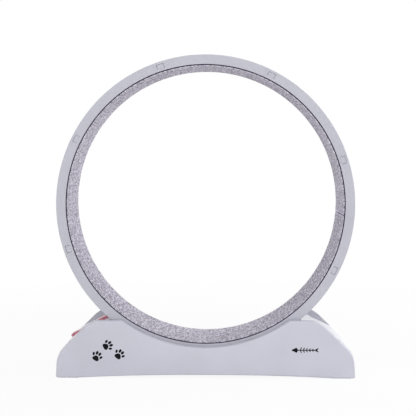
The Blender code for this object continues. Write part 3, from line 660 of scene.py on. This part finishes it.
def segment_section():
    """Section of a segment as (radius, depth), with the moulding's small radii."""
    root = 0.0008
    lip = 0.0006

    def rib(inner, wall, height):
        top = TRACK_OUTER_RADIUS + height
        return [(TRACK_OUTER_RADIUS, inner + wall), (top, inner + wall), (top, inner),
                (TRACK_OUTER_RADIUS, inner)]

    half = [(TRACK_INNER_RADIUS, HALF_RING_WIDTH), (RING_RADIUS, HALF_RING_WIDTH),
            (RING_RADIUS, FLANGE_INNER), (TRACK_OUTER_RADIUS, FLANGE_INNER)]
    half += rib(*GUIDE_RIB) + rib(*BRAKE_RIB)
    radii = [RIM_INNER_ROUND, RIM_OUTER_ROUND, lip, root] + [root, lip, lip, root] * 2
    return rounded(mirrored(half), radii + radii[::-1], steps=3)


def tangent_prism(degrees, radial_range, outline):
    """Points and faces of an outline of (along, depth) drawn out along the ring's radius."""
    radial = clock_point(1.0, degrees)
    tangent = clock_point(1.0, degrees + 90.0)
    points = [radial * out + tangent * along + Vector((0.0, depth, 0.0))
              for out in radial_range for along, depth in outline]
    return points, loop_faces(2, len(outline))


def tangent_block(degrees, radial_range, tangent_range, depth_range):
    """Points and faces of a block set square to the ring's radius."""
    (low, high), (near, far) = tangent_range, depth_range
    return tangent_prism(degrees, radial_range, [(low, near), (high, near), (high, far), (low, far)])


def tongue(side):
    """A tongue behind the rim past the segment's end, with a button for the next window."""
    half = BUTTON_LENGTH / 2
    seam = -BUTTON_RADIUS * math.tan(math.radians(BUTTON_OFFSET_DEGREES)) - 2 * GAP
    front = FLANGE_INNER - GAP
    back = front - TONGUE_WALL
    face = HALF_RING_WIDTH - BUTTON_SINK
    crown = 0.0005
    outline = [(seam - TONGUE_ROOT, back), (half, back), (half, face - crown),
               (half - crown, face), (crown - half, face), (-half, face - crown),
               (-half, front), (seam, front), (seam, FLANGE_INNER + GAP),
               (seam - TONGUE_ROOT, FLANGE_INNER + GAP)]
    low = BUTTON_RADIUS - BUTTON_HEIGHT / 2 - WINDOW_GAP + BUTTON_HINGE_GAP
    return tangent_prism(SEGMENT_DEGREES + BUTTON_OFFSET_DEGREES,
                         (low, BUTTON_RADIUS + BUTTON_HEIGHT / 2),
                         [(along, side * depth) for along, depth in outline])


def segment_mesh():
    """One eighth of the ring about the ring's centre, starting at the top."""
    section = segment_section()
    steps = round(SEGMENT_DEGREES / FINE_STEP_DEGREES)
    end = SEGMENT_DEGREES - math.degrees(SEAM_GAP / RING_RADIUS)
    points = [clock_point(radius, end * step / steps, depth)
              for step in range(steps + 1) for radius, depth in section]
    segment = tool("segment", points, loop_faces(steps + 1, len(section)))

    height = (TRACK_OUTER_RADIUS - GAP, TRACK_OUTER_RADIUS + END_WALL_HEIGHT)
    rib_gap = 0.0008
    bay_low = BRAKE_RIB[0] + BRAKE_RIB[1] + rib_gap
    bay_high = GUIDE_RIB[0] - rib_gap
    middle = BRAKE_RIB[0] - rib_gap
    joined = [tongue(side) for side in (-1, 1)]
    for degrees, along in ((0.0, (2 * GAP, END_WALL)), (SEGMENT_DEGREES, (-END_WALL, -2 * GAP))):
        for bay in ((-bay_high, -bay_low), (-middle, middle), (bay_low, bay_high)):
            joined.append(tangent_block(degrees, height, along, bay))

    half_window = BUTTON_LENGTH / 2 + WINDOW_GAP
    half_ledge = half_window + TONGUE_LEDGE
    low = BUTTON_RADIUS - BUTTON_HEIGHT / 2 - WINDOW_GAP
    high = BUTTON_RADIUS + BUTTON_HEIGHT / 2 + WINDOW_GAP
    at_rim = (RING_RADIUS - NOTCH_LENGTH, RING_RADIUS + NOTCH_LENGTH)
    ledges = []
    cuts = []
    for side in (-1, 1):
        behind_rim = sorted((side * (FLANGE_INNER - 1.5 * GAP), side * (FLANGE_INNER - TONGUE_WALL)))
        ledges.append(tangent_block(SEGMENT_DEGREES + BUTTON_OFFSET_DEGREES,
                                    (low + BUTTON_HINGE_GAP / 2, high + TONGUE_LEDGE),
                                    (-half_ledge, half_ledge), behind_rim))
        past_rim = side * (HALF_RING_WIDTH + NOTCH_LENGTH)
        cuts.append(tangent_block(BUTTON_OFFSET_DEGREES, (low, high), (-half_window, half_window),
                                  (side * (FLANGE_INNER - NOTCH_LENGTH), past_rim)))
        for degrees, along in ((0.0, (-NOTCH_WIDTH, NOTCH_WIDTH / 2)),
                               (SEGMENT_DEGREES, (-NOTCH_WIDTH / 2, NOTCH_WIDTH))):
            cuts.append(tangent_block(degrees, at_rim, along,
                                      (side * (HALF_RING_WIDTH - NOTCH_DEPTH), past_rim)))
    shape_with(segment, [(tool("joined", *gather(joined)), "UNION"),
                         (tool("ledges", *gather(ledges)), "UNION"),
                         (tool("cuts", *gather(cuts)), "DIFFERENCE")])
    mesh = segment.data
    mesh.materials.clear()
    mesh.materials.append(LOOKS["grey"])
    bpy.data.objects.remove(segment, do_unlink=True)
    return mesh


def make_ring():
    mesh = segment_mesh()
    for number in range(SEGMENT_COUNT):
        turn = math.radians(FIRST_SEAM_DEGREES + SEGMENT_DEGREES * number)
        segment = mesh.copy()
        segment.transform(Matrix.Translation(RING_CENTRE) @ Matrix.Rotation(turn, 4, "Y"))
        made = placed(f"ring_segment_{number + 1}", segment)
        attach(made, "running_ring")
        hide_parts(f"wheel_segment_{number + 1}")
    bpy.data.meshes.remove(mesh)


def pile_shift(place, degrees_from_seam):
    """How far a point of the pile is pressed back from the carpet's full height."""
    fine = noise.noise(place * (1.0 / PILE_GRAIN))
    lump = noise.noise(place * (1.0 / PILE_LUMP_GRAIN) + PILE_LUMP_PLACE)
    depth = PILE_DEPTH * (0.5 + 0.5 * fine) + PILE_LUMP * (0.5 + 0.5 * lump)
    return depth * min(1.0, SEAM_PRESS_SHARE + degrees_from_seam / SEAM_PRESS_DEGREES)


def make_carpet(number):
    """One length of felt carpet: lumpy pile over a dark backing, cut at its edges; the cut edges and
    ends carry the backing's near-black, which also paints the shade of the gaps beside them.
    """
    start = CARPET_SEAMS_DEGREES[number]
    inner = TRACK_INNER_RADIUS - GAP - CARPET_THICKNESS
    outer = TRACK_INNER_RADIUS - GAP
    cells = round(2 * CARPET_HALF_WIDTH / CARPET_CELL)
    face = CARPET_HALF_WIDTH - EDGE_ROUND
    section = [(inner, -face + 2 * face * cell / cells) for cell in range(cells + 1)]
    pile_count = len(section)
    section += mirrored([(inner + EDGE_CURVE, CARPET_HALF_WIDTH - EDGE_CURVE),
                         (inner + EDGE_ROUND, CARPET_HALF_WIDTH),
                         (inner + PILE_HEIGHT, CARPET_HALF_WIDTH - EDGE_FRAY),
                         (outer, CARPET_HALF_WIDTH - EDGE_FRAY)])
    sides = len(section)
    frayed = [pile_count + place for place in (1, 2, 5, 6)]
    backing_and_shade_columns = range(pile_count + 2, pile_count + 5)
    length = 180.0 - math.degrees(CARPET_SEAM_GAPS[number] / outer)
    steps = round(math.radians(length) * inner / CARPET_CELL)
    points = []
    for step in range(steps + 1):
        degrees = start + length * step / steps
        from_seam = min(step, steps - step) * length / steps
        for index, (radius, depth) in enumerate(section):
            place = clock_point(radius, degrees, depth)
            if index < pile_count:
                place = clock_point(radius + pile_shift(place, from_seam), degrees, depth)
            elif index in frayed:
                fray = EDGE_FRAY * noise.noise(place * (1.0 / EDGE_FRAY_GRAIN))
                place = clock_point(radius, degrees, depth - math.copysign(EDGE_FRAY, depth) + fray)
            points.append(place + RING_CENTRE)
    made = piece(f"carpet_pile_{number + 1}", points, loop_faces(steps + 1, sides),
                 "pile", "running_ring", "grey_carpet", smooth_degrees=60.0)
    for look in ("backing_and_gap_shade", "seam_pile"):
        made.data.materials.append(LOOKS[look])
    row_at_right_seam = (0, steps - 1)[number]
    for index, face in enumerate(made.data.polygons):
        row, column = divmod(index, sides)
        # Edge faces and seam ends get the backing look, which paints the gaps' shade as well as the
        # foam.
        if row >= steps or column in backing_and_shade_columns:
            face.material_index = 1
        elif row == row_at_right_seam and column < pile_count:
            face.material_index = 2
    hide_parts(f"carpet_half_{number + 1}")


# Base panels

def arch_points():
    """The lower edge of a panel between its feet, from the left to the right, as (x, z)."""
    shares = [2 * step / ARCH_STEPS - 1 for step in range(ARCH_STEPS + 1)]
    return [(share * ARCH_END_SHARE * PANEL_HALF_LENGTH,
             FOOT_THICKNESS + ARCH_RISE * (1 - abs(share) ** ARCH_POWER)) for share in shares]


def panel_outline(softened=True):
    """Closed outline of a panel as (x, z), from the right foot round to the left, and the arch."""
    edge_drop = RING_CENTRE.z - PANEL_HEIGHT
    spread = math.acos(edge_drop / CUTOUT_RADIUS)
    right = [(PANEL_DRAFT_SHARE * PANEL_HALF_LENGTH, FOOT_THICKNESS)]
    right += [(x * PANEL_HALF_LENGTH, z * PANEL_HEIGHT) for x, z in PANEL_SHOULDER_SHARES]
    radii = [FOOT_END_ROUND] + [SHOULDER_ROUND] * len(PANEL_SHOULDER_SHARES)
    steps = 2 * math.ceil(math.degrees(spread) / FINE_STEP_DEGREES)
    arc = []
    for step in range(steps + 1):
        turn = spread * (1 - 2 * step / steps)
        arc.append((CUTOUT_RADIUS * math.sin(turn), RING_CENTRE.z - CUTOUT_RADIUS * math.cos(turn)))
    left = [(-x, z) for x, z in reversed(right)]
    outline = right + arc + left + arch_points()
    if not softened:
        return outline
    arc_radii = [CUTOUT_END_ROUND] + [0.0] * (steps - 1) + [CUTOUT_END_ROUND]
    return rounded(outline, radii + arc_radii + radii[::-1] + [0.0] * (ARCH_STEPS + 1), steps=5)


def skin_rings(outline, wall, steps, side):
    """Rings of a rounded skin, from its rim to its face, a wall's depth inside the outline."""
    radius = PANEL_EDGE_ROUND - wall
    start = PANEL_FACE_PLACE - PANEL_EDGE_ROUND
    rings = [(wall, PLATE_OUTER_PLACE + GAP)]
    for step in range(steps + 1):
        turn = math.pi / 2 * step / steps
        rings.append((wall + radius * (1 - math.cos(turn)), start + radius * math.sin(turn)))
    return [[(x, side * depth, z) for x, z in inset(outline, distance)]
            for distance, depth in rings]


def make_panels():
    outline = panel_outline()
    axles = [(across * AXLE_MIDDLE.x, AXLE_MIDDLE.z) for across in (-1, 1)]
    screws = [(x * PANEL_HALF_LENGTH, z * PANEL_HEIGHT) for x, z in SCREW_PLACES_SHARES]
    for name, side in (("front", -1), ("rear", 1)):
        rings = skin_rings(outline, 0.0, 8, side)[::-1] + skin_rings(outline, PANEL_WALL, 3, side)
        points = [point for ring in rings for point in ring]
        shell = piece(f"{name}_shell", points, loop_faces(len(rings), len(outline)),
                      "panel_grey", "base", "moulded_grey", smooth_degrees=50.0)
        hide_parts(f"{name}_panel")

        plate = piece(f"{name}_lining", *prism_points(outline, side * PANEL_INNER_PLACE,
                                                      side * PLATE_OUTER_PLACE),
                      "grey", "base", "moulded_grey")
        sockets = pins(axles, SOCKET_RADIUS, (PLATE_OUTER_PLACE - GAP, SOCKET_END), 32, side)
        through = (PANEL_INNER_PLACE - GAP * 9, PANEL_OUTER_PLACE)
        holes = gather([pins(axles, AXLE_RADIUS + GAP, through, 32, side),
                        pins(screws, SCREW_RADIUS, through, 16, side)])
        shape_with(plate, [(tool("sockets", *sockets), "UNION"),
                           (tool("holes", *holes), "DIFFERENCE")])
        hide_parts(f"{name}_inner_plate")


# Covers and lock slide

def on_side(start, end, axis, value):
    """The point of a side where its x (axis 0) or its z (axis 1) has a value."""
    share = (value - start[axis]) / (end[axis] - start[axis])
    return tuple(Vector(start).lerp(Vector(end), share))


def cover_path():
    """The right end cover's upper line as (x, z), its knee and the slope above the knee."""
    edge = inset(panel_outline(softened=False), -COVER_RISE)
    slope_low = 1 + SLOPE_LOW_INDEX
    knee = on_side(edge[slope_low], edge[slope_low + 1], 0, COVER_KNEE_PLACE)
    slope = math.atan2(COVER_TOP - knee[1], knee[0] - COVER_INNER_PLACE)
    path = [on_side(edge[0], edge[1], 1, COVER_END_HEIGHT)]
    path += edge[1:slope_low + 1]
    path += [knee, (COVER_INNER_PLACE - COVER_LIP, COVER_TOP + COVER_LIP * math.tan(slope))]
    return path, knee, slope


COVER_PATH, COVER_KNEE, COVER_SLOPE = cover_path()
SLIDE_ORIGIN = (-COVER_KNEE[0], COVER_KNEE[1] + SLIDE_KNEE_RISE)
SLIDE_SLOPE = COVER_SLOPE + math.radians(SLIDE_LIFT_DEGREES)


def slide_point(along, depth, above):
    """A point in the slide's own directions, from over the left cover's knee."""
    x, z = turned(along, above, SLIDE_SLOPE, SLIDE_ORIGIN)
    return Vector((x, depth, z))


def in_slide(part):
    """A part made as (along, depth, above), set into the slide's own directions."""
    points, faces = part
    return [slide_point(*point) for point in points], faces


def pad_end(above):
    """How far up the slope the pad ends at rest, one travel short of the ring, at a height."""
    start = slide_point(0.0, 0.0, above) - RING_CENTRE
    way = slide_point(1.0, 0.0, 0.0) - slide_point(0.0, 0.0, 0.0)
    along = start.dot(way)
    touch = -along - math.sqrt(along ** 2 - start.length_squared + RING_RADIUS ** 2)
    return touch - PAD_STOP_GAP - SLIDE_TRAVEL


def slide_places():
    """Where the slide's head and bridge lie along the slope."""
    head_start = pad_end(0.0) - PAD_THICKNESS - GAP - SLIDE_HEAD_LENGTH
    bridge_end = head_start - BRIDGE_HEAD_GAP
    return head_start, bridge_end - BRIDGE_LENGTH, bridge_end


def slide_block(along_range, half_width, above_range):
    """Points and faces of a block square to the slide's slope."""
    (start, end), (low, high) = along_range, above_range
    outline = [(start, low), (end, low), (end, high), (start, high)]
    return in_slide(prism_points(outline, -half_width, half_width))


def make_covers():
    """Bent sheets with a skirt down the inner side, and room for the slide in the left one."""
    radii = [0.0] + [SHOULDER_ROUND] * (SLOPE_LOW_INDEX + 1) + [KNEE_ROUND, 0.0]
    path = rounded(COVER_PATH, radii, steps=6, closed=False)
    sheet = strip(path, COVER_WALL)
    ends = [0.0] * len(sheet)
    for index in (len(path) - 1, len(path)):
        ends[index] = COVER_LIP_ROUND
    sheet = rounded(sheet, ends)
    inner, outer = COVER_INNER_PLACE, COVER_INNER_PLACE + COVER_WALL
    top = COVER_TOP - COVER_WALL / math.cos(COVER_SLOPE) + GAP
    skirt = [(inner, COVER_SKIRT_HEIGHT), (outer, COVER_SKIRT_HEIGHT),
             (outer, top - COVER_WALL * math.tan(COVER_SLOPE)), (inner, top)]
    for name, across in (("left", -1), ("right", 1)):
        bent, hanging = [prism_points([(across * x, z) for x, z in outline],
                                      -COVER_HALF_WIDTH, COVER_HALF_WIDTH)
                         for outline in (sheet, skirt)]
        cover = piece(f"{name}_cover", *bent, "white", "base", "moulded_white")
        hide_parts(f"{name}_end_cover")
        changes = [(tool("skirt", *hanging), "UNION")]
        if across < 0:
            head_start = slide_places()[0]
            start = head_start - GUIDE_LENGTH - GUIDE_SIDE_GAP
            floor = -SLIDE_THICKNESS - GUIDE_SIDE_GAP
            for label, along_range, half_width, low in (
                    ("tip_slot", (-SLIDE_TIP_LENGTH - GUIDE_SIDE_GAP, start + SLIDE_TIP_CHAMFER),
                     SLIDE_WIDTH / 2, floor),
                    ("guide_slot", (start, head_start + GUIDE_SIDE_GAP),
                     GUIDE_HALF_WIDTH, floor - GUIDE_WALL - GAP),
                    ("head_slot", (head_start - GUIDE_SIDE_GAP, head_start + PANEL_HEIGHT),
                     SLIDE_HEAD_WIDTH / 2, PAD_FLOOR - GUIDE_SIDE_GAP)):
                slot = slide_block(along_range, half_width + GUIDE_SIDE_GAP, (low, PANEL_HEIGHT))
                changes.append((tool(label, *slot), "DIFFERENCE"))
        shape_with(cover, changes)


def make_slide():
    """The slide with its wide head, and the rubber pad on the head's end, cut to the ring."""
    head_start = slide_places()[0]
    tip = -SLIDE_TIP_LENGTH
    under = -SLIDE_THICKNESS
    root = head_start + SLIDE_HEAD_ROOT
    bar = [(tip + SLIDE_TIP_CHAMFER, BAR_TOP), (tip, BAR_TOP - SLIDE_TIP_DROP),
           (tip, under), (head_start - SLIDE_EDGE, under), (root, under + SLIDE_EDGE),
           (root, BAR_TOP)]
    bar = rounded(bar, [SLIDE_TIP_CHAMFER] + [SLIDE_TIP_DROP / 2] * 2 + [0.0] * 3, steps=6)
    slide = piece("lock_bar", *in_slide(pillow_points(bar, SLIDE_WIDTH / 2, SLIDE_EDGE)),
                  "pink", "lock", "moulded_pink")
    behind_pad = PAD_THICKNESS + GAP
    head = [(head_start, 0.0), (pad_end(0.0) - behind_pad, 0.0),
            (pad_end(under) - behind_pad, under), (head_start, under)]
    head = in_slide(pillow_points(rounded(head, SLIDE_EDGE), SLIDE_HEAD_WIDTH / 2,
                                  SLIDE_EDGE * INNER_EDGE_SHARE))
    grooves = []
    for groove in range(GRIP_COUNT):
        low = tip + GRIP_START + GRIP_PITCH * groove
        grooves.append(slide_block((low, low + GRIP_PITCH / 3), GRIP_HALF_WIDTH,
                                   (BAR_TOP - GRIP_DEPTH, BAR_TOP + GRIP_DEPTH)))
    shape_with(slide, [(tool("head", *head), "UNION"),
                       (tool("grooves", *gather(grooves)), "DIFFERENCE")])
    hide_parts("lock_slide")

    inner_corner = pad_end(PAD_TOP) - PAD_THICKNESS
    pad = [(inner_corner - PAD_LIP_LENGTH, PAD_TOP), (inner_corner, PAD_TOP),
           (pad_end(-PAD_TOP_SINK) - PAD_THICKNESS, -PAD_TOP_SINK),
           (pad_end(-PAD_TOP_SINK), -PAD_TOP_SINK), (pad_end(PAD_FLOOR), PAD_FLOOR),
           (inner_corner - PAD_LIP_LENGTH, PAD_FLOOR)]
    pad = rounded(pad, [PAD_EDGE, 0.0] + [PAD_EDGE] * 4, steps=3)
    pad = pillow_points(pad, SLIDE_HEAD_WIDTH / 2, PAD_EDGE * INNER_EDGE_SHARE, steps=3)
    pad = shape_with(piece("lock_pad", *in_slide(pad), "rubber", "lock", "black_rubber"))
    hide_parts("brake_pad")


def make_bridge():
    """The soft-edged strap over the slide, standing on the cover."""
    bridge_start, bridge_end = slide_places()[1:]
    low_top = slide_point(bridge_start, 0.0, BRIDGE_TOP)
    high_top = slide_point(bridge_end, 0.0, BRIDGE_TOP)

    def on_cover(x):
        return (x, COVER_KNEE[1] + (COVER_KNEE[0] + x) * math.tan(COVER_SLOPE) + 2 * GAP)

    outline = [(low_top.x, low_top.z), (high_top.x, high_top.z),
               on_cover(high_top.x), on_cover(low_top.x)]
    half = GUIDE_HALF_WIDTH + GUIDE_SIDE_GAP + BRIDGE_CHEEK
    height = low_top.z - on_cover(low_top.x)[1]
    outline = rounded(outline, [BRIDGE_ROUND, BRIDGE_ROUND, GAP, GAP], steps=6)
    points = []
    for distance, depth in mirrored([(BRIDGE_EDGE, -half),
                                     (BRIDGE_EDGE_CURVE, BRIDGE_EDGE_CURVE - half),
                                     (0.0, BRIDGE_EDGE - half)]):
        for x, z in outline:
            floor = on_cover(x)[1]
            points.append((x, depth, floor + (z - floor) * (1 - distance / height)))
    bridge = piece("slide_strap", points, loop_faces(6, len(outline)),
                   "white", "base", "moulded_white")
    hollow = slide_block((bridge_start - BRIDGE_LENGTH, bridge_end + BRIDGE_LENGTH),
                         GUIDE_HALF_WIDTH + GUIDE_SIDE_GAP, (-PANEL_HEIGHT, TUNNEL_TOP))
    shape_with(bridge, [(tool("slide_tunnel", *hollow), "DIFFERENCE")])
    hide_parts("slide_bridge")


# Rollers and axles

def middle_of(node):
    """The middle of a node's box, and half its width along Y."""
    low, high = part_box(node)
    return (low + high) / 2, (high.y - low.y) / 2


def small_ring(name, node, half_profile, corner_round, look, body, slot):
    """A ring in a node's place, from half its profile as (radius, depth from its end)."""
    middle, reach = middle_of(node)
    profile = mirrored([(radius, depth - reach) for radius, depth in half_profile])
    ring = tube_points(middle, rounded(profile, corner_round, steps=2), SHAFT_SIDES)
    made = shape_with(piece(name, *ring, look, body, slot))
    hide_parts(node)


def make_roller(number):
    body = f"roller_{number}"
    centre, half = middle_of(f"roller_tyre_{number}")
    bore = ROLLER_RADIUS - TYRE_THICKNESS
    tyre = mirrored([(bore, -half), (ROLLER_RADIUS, -half), (ROLLER_RADIUS, -TREAD_GROOVE),
                     (ROLLER_RADIUS - TREAD_GROOVE, -TREAD_GROOVE)])
    tyre = rounded(tyre, [0.0, TYRE_ROUND, GAP, GAP, GAP, GAP, TYRE_ROUND, 0.0], steps=3)
    made = shape_with(piece(f"tyre_{number}", *tube_points(centre, tyre, ROLLER_SIDES),
                            "rubber", body, "black_rubber"))
    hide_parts(f"roller_tyre_{number}")

    rim = bore - GAP
    rim_inner = rim - HUB_RECESS
    seat = BEARING_RADIUS + GAP
    web = half - BEARING_WIDTH - GAP
    hub = mirrored([(seat, -half), (BOSS_OUTER, -half), (BOSS_OUTER, HUB_RECESS - half),
                    (rim_inner, HUB_RECESS - half), (rim_inner, -half), (rim, -half)])
    hub += mirrored([(seat, web), (HUB_WEB_RADIUS, web)])
    made = piece(f"hub_{number}", *tube_points(centre, rounded(hub, GAP, steps=2), ROLLER_SIDES),
                 "nylon", body, "white_nylon")
    places = [centre + clock_point((BOSS_OUTER + rim_inner) / 2, 360.0 * index / HUB_HOLES)
              for index in range(HUB_HOLES)]
    holes = pins([(place.x, place.z) for place in places], HUB_HOLE_RADIUS,
                 (centre.y - 2 * half, centre.y + 2 * half), 20)
    shape_with(made, [(tool("hub_holes", *holes), "DIFFERENCE")])
    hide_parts(f"roller_hub_{number}")

    for end in ("front", "rear"):
        race = [(AXLE_RADIUS + GAP, 0.0), (INNER_RACE_RADIUS, 0.0),
                (INNER_RACE_RADIUS, SHIELD_SINK), (OUTER_RACE_RADIUS, SHIELD_SINK),
                (OUTER_RACE_RADIUS, 0.0), (BEARING_RADIUS, 0.0)]
        small_ring(f"{end}_race_{number}", f"{end}_bearing_{number}", race, GAP / 2,
                   "steel", body, "steel")


def make_axles():
    for name in ("left", "right"):
        centre, half = middle_of(f"{name}_axle")
        rings = mirrored([(AXLE_RADIUS - AXLE_CHAMFER, -half), (AXLE_RADIUS, AXLE_CHAMFER - half)])
        shaft = lathe((centre.x, centre.z), rings, SHAFT_SIDES)
        made = shape_with(piece(f"{name}_shaft", *shaft, "steel", "base", "steel"))
        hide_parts(f"{name}_axle")
        for kind in ("long", "front", "rear"):
            small_ring(f"{name}_{kind}_sleeve", f"{name}_{kind}_spacer",
                       [(AXLE_RADIUS + GAP, 0.0), (SPACER_RADIUS, 0.0)], GAP,
                       "nylon", "base", "white_nylon")


# Decoration printed on the front panel

def printed(name, outlines):
    """Thin ink shapes on the front panel's face, each a little lower than the last."""
    parts = [prism_points(outline, -PANEL_OUTER_PLACE + PRINT_STEP * index,
                          -PANEL_FACE_PLACE + GAP / 3)
             for index, outline in enumerate(outlines)]
    piece(name, *gather(parts), "black_ink", "base", None)


def oval(centre, half_sizes, tilt, lobes):
    """An ellipse as (x, z), swelled into three lobes by a share."""
    outline = []
    for index in range(OVAL_POINTS):
        turn = math.tau * index / OVAL_POINTS
        swell = 1.0 + lobes * math.cos(3 * turn + math.pi / 2)
        outline.append(turned(half_sizes[0] * swell * math.cos(turn),
                              half_sizes[1] * swell * math.sin(turn), tilt, centre))
    return outline


def bar_outline(start, end, width):
    """A straight stroke with round ends."""
    way = (Vector(end) - Vector(start)).normalized()
    across = Vector((-way.y, way.x)) * width / 2
    corners = [Vector(start) + across, Vector(start) - across,
               Vector(end) - across, Vector(end) + across]
    return rounded([tuple(corner) for corner in corners], width * 0.45, steps=3)


def make_prints():
    paws = []
    for centre, size, tilt in PAW_PLACES:
        for (x, z), (wide, high), lean, lobes in PAW_SHARES:
            place = turned(size * x, size * z, math.radians(tilt), centre)
            paws.append(oval(place, (size * wide, size * high), math.radians(tilt + lean), lobes))
    printed("paw_prints", paws)

    length, height, stroke = BONE_SIZE
    x, z = BONE_CENTRE
    start, end = BONE_SPINE
    bones = [bar_outline((x + length * start, z), (x + length * end, z), stroke)]
    for index in range(BONE_RIB_COUNT):
        place = x + length * BONE_RIB_START + length * BONE_RIB_PITCH * index
        half = height * (BONE_RIB_REACH - BONE_RIB_TAPER * index)
        for way in (-1, 1):
            bones.append(bar_outline((place, z + way * stroke * 0.3),
                                     (place + height * BONE_RIB_LEAN, z + way * half), stroke))
    for shares, corner_round in BONE_ENDS:
        bones.append(rounded([(x + length * along, z + height * up) for along, up in shares],
                             height * corner_round, steps=4))
    printed("fish_bone", bones)


# Finishes of the solids from model.glb that are shown as they are

def finish_solids():
    finishes = {"slide_guide": "white", "left_tie_beam": "grey", "right_tie_beam": "grey"}
    for end in ("front", "rear"):
        for side in ("left", "right"):
            finishes[f"{end}_{side}_foot"] = "rubber"
        for number in range(1, 5):
            finishes[f"{end}_panel_screw_{number}"] = "steel"
    for node, look in finishes.items():
        for place in frame["nodes"][node].material_slots:
            place.link = "OBJECT"
            place.material = LOOKS[look]


# Floor, lights and camera

def white_to_camera(tree, shader_socket, white_share, target):
    """Show a share of plain white to the camera, to mirrors and through clear things."""
    path = add_node(tree, "LightPath", {}).outputs
    share = path["Is Camera Ray"]
    for operation, other in (("MAXIMUM", path["Is Glossy Ray"]),
                             ("MAXIMUM", path["Is Transmission Ray"]),
                             ("MULTIPLY", white_share)):
        combined = add_node(tree, "Math", {0: share, 1: other})
        combined.operation = operation
        share = combined.outputs[0]
    kind = "Background" if target.bl_idname == "ShaderNodeOutputWorld" else "Emission"
    white = add_node(tree, kind, {"Strength": 1.0, "Color": PURE_WHITE}).outputs[0]
    mix = add_node(tree, "MixShader", {0: share, 1: shader_socket, 2: white})
    feed(tree, target, {"Surface": mix.outputs[0]})


def make_floor():
    dark, middle, light = FLOOR_GREYS
    shader = Shader("floor_look", middle, 0.8)
    grain = shader.noise(0.4, detail=3.0)
    shader.surface({"Base Color": shader.ramp(grain, ((0.3, dark), (0.7, light)))})
    distance = add_node(shader.tree, "VectorMath", {0: shader.place})
    distance.operation = "LENGTH"
    white_share = shader.spread(distance.outputs["Value"], FLOOR_WHITE_SHARE, 1.0, *FLOOR_WHITE_PLACES)
    white_to_camera(shader.tree, shader.bsdf.outputs[0], white_share,
                    shader.tree.nodes["Material Output"])
    half = FLOOR_HALF_SIZE
    corners = [(-half, -half, 0.0), (half, -half, 0.0), (half, half, 0.0), (-half, half, 0.0)]
    floor = tool("floor", corners, [(0, 1, 2, 3)])
    floor.data.materials.append(shader.material)


def make_light():
    world = bpy.data.worlds.new("studio")
    world.use_nodes = True
    bpy.context.scene.world = world
    tree = world.node_tree
    soft = tree.nodes["Background"]
    feed(tree, soft, {"Color": PURE_WHITE, "Strength": WORLD_STRENGTH})
    white_to_camera(tree, soft.outputs[0], 1.0, tree.nodes["World Output"])
    for name, place, size, power in LAMPS:
        data = bpy.data.lights.new(name, "AREA")
        data.shape = "DISK"
        data.size = size
        data.energy = power
        lamp = placed(name, data)
        lamp.location = place
        lamp.rotation_euler = (LAMP_AIM - Vector(place)).to_track_quat("-Z", "Y").to_euler()


def make_camera():
    data = bpy.data.cameras.new("camera")
    data.sensor_width = CAMERA_SENSOR
    data.lens = CAMERA_FOCAL_PIXELS / PHOTO_PIXELS * CAMERA_SENSOR
    data.clip_end = CAMERA_REACH
    camera = placed("camera", data)
    camera.location = CAMERA_PLACE
    camera.rotation_euler = (math.radians(90.0 - CAMERA_DOWN_DEGREES), 0.0,
                             math.radians(CAMERA_LEFT_DEGREES))
    bpy.context.scene.camera = camera


make_ring()
for number in range(len(CARPET_SEAMS_DEGREES)):
    make_carpet(number)
make_panels()
make_covers()
make_slide()
make_bridge()
for number in range(1, 5):
    make_roller(number)
make_axles()
make_prints()
finish_solids()
make_floor()
make_light()
make_camera()
bpy.context.scene.view_settings.view_transform = "Standard"
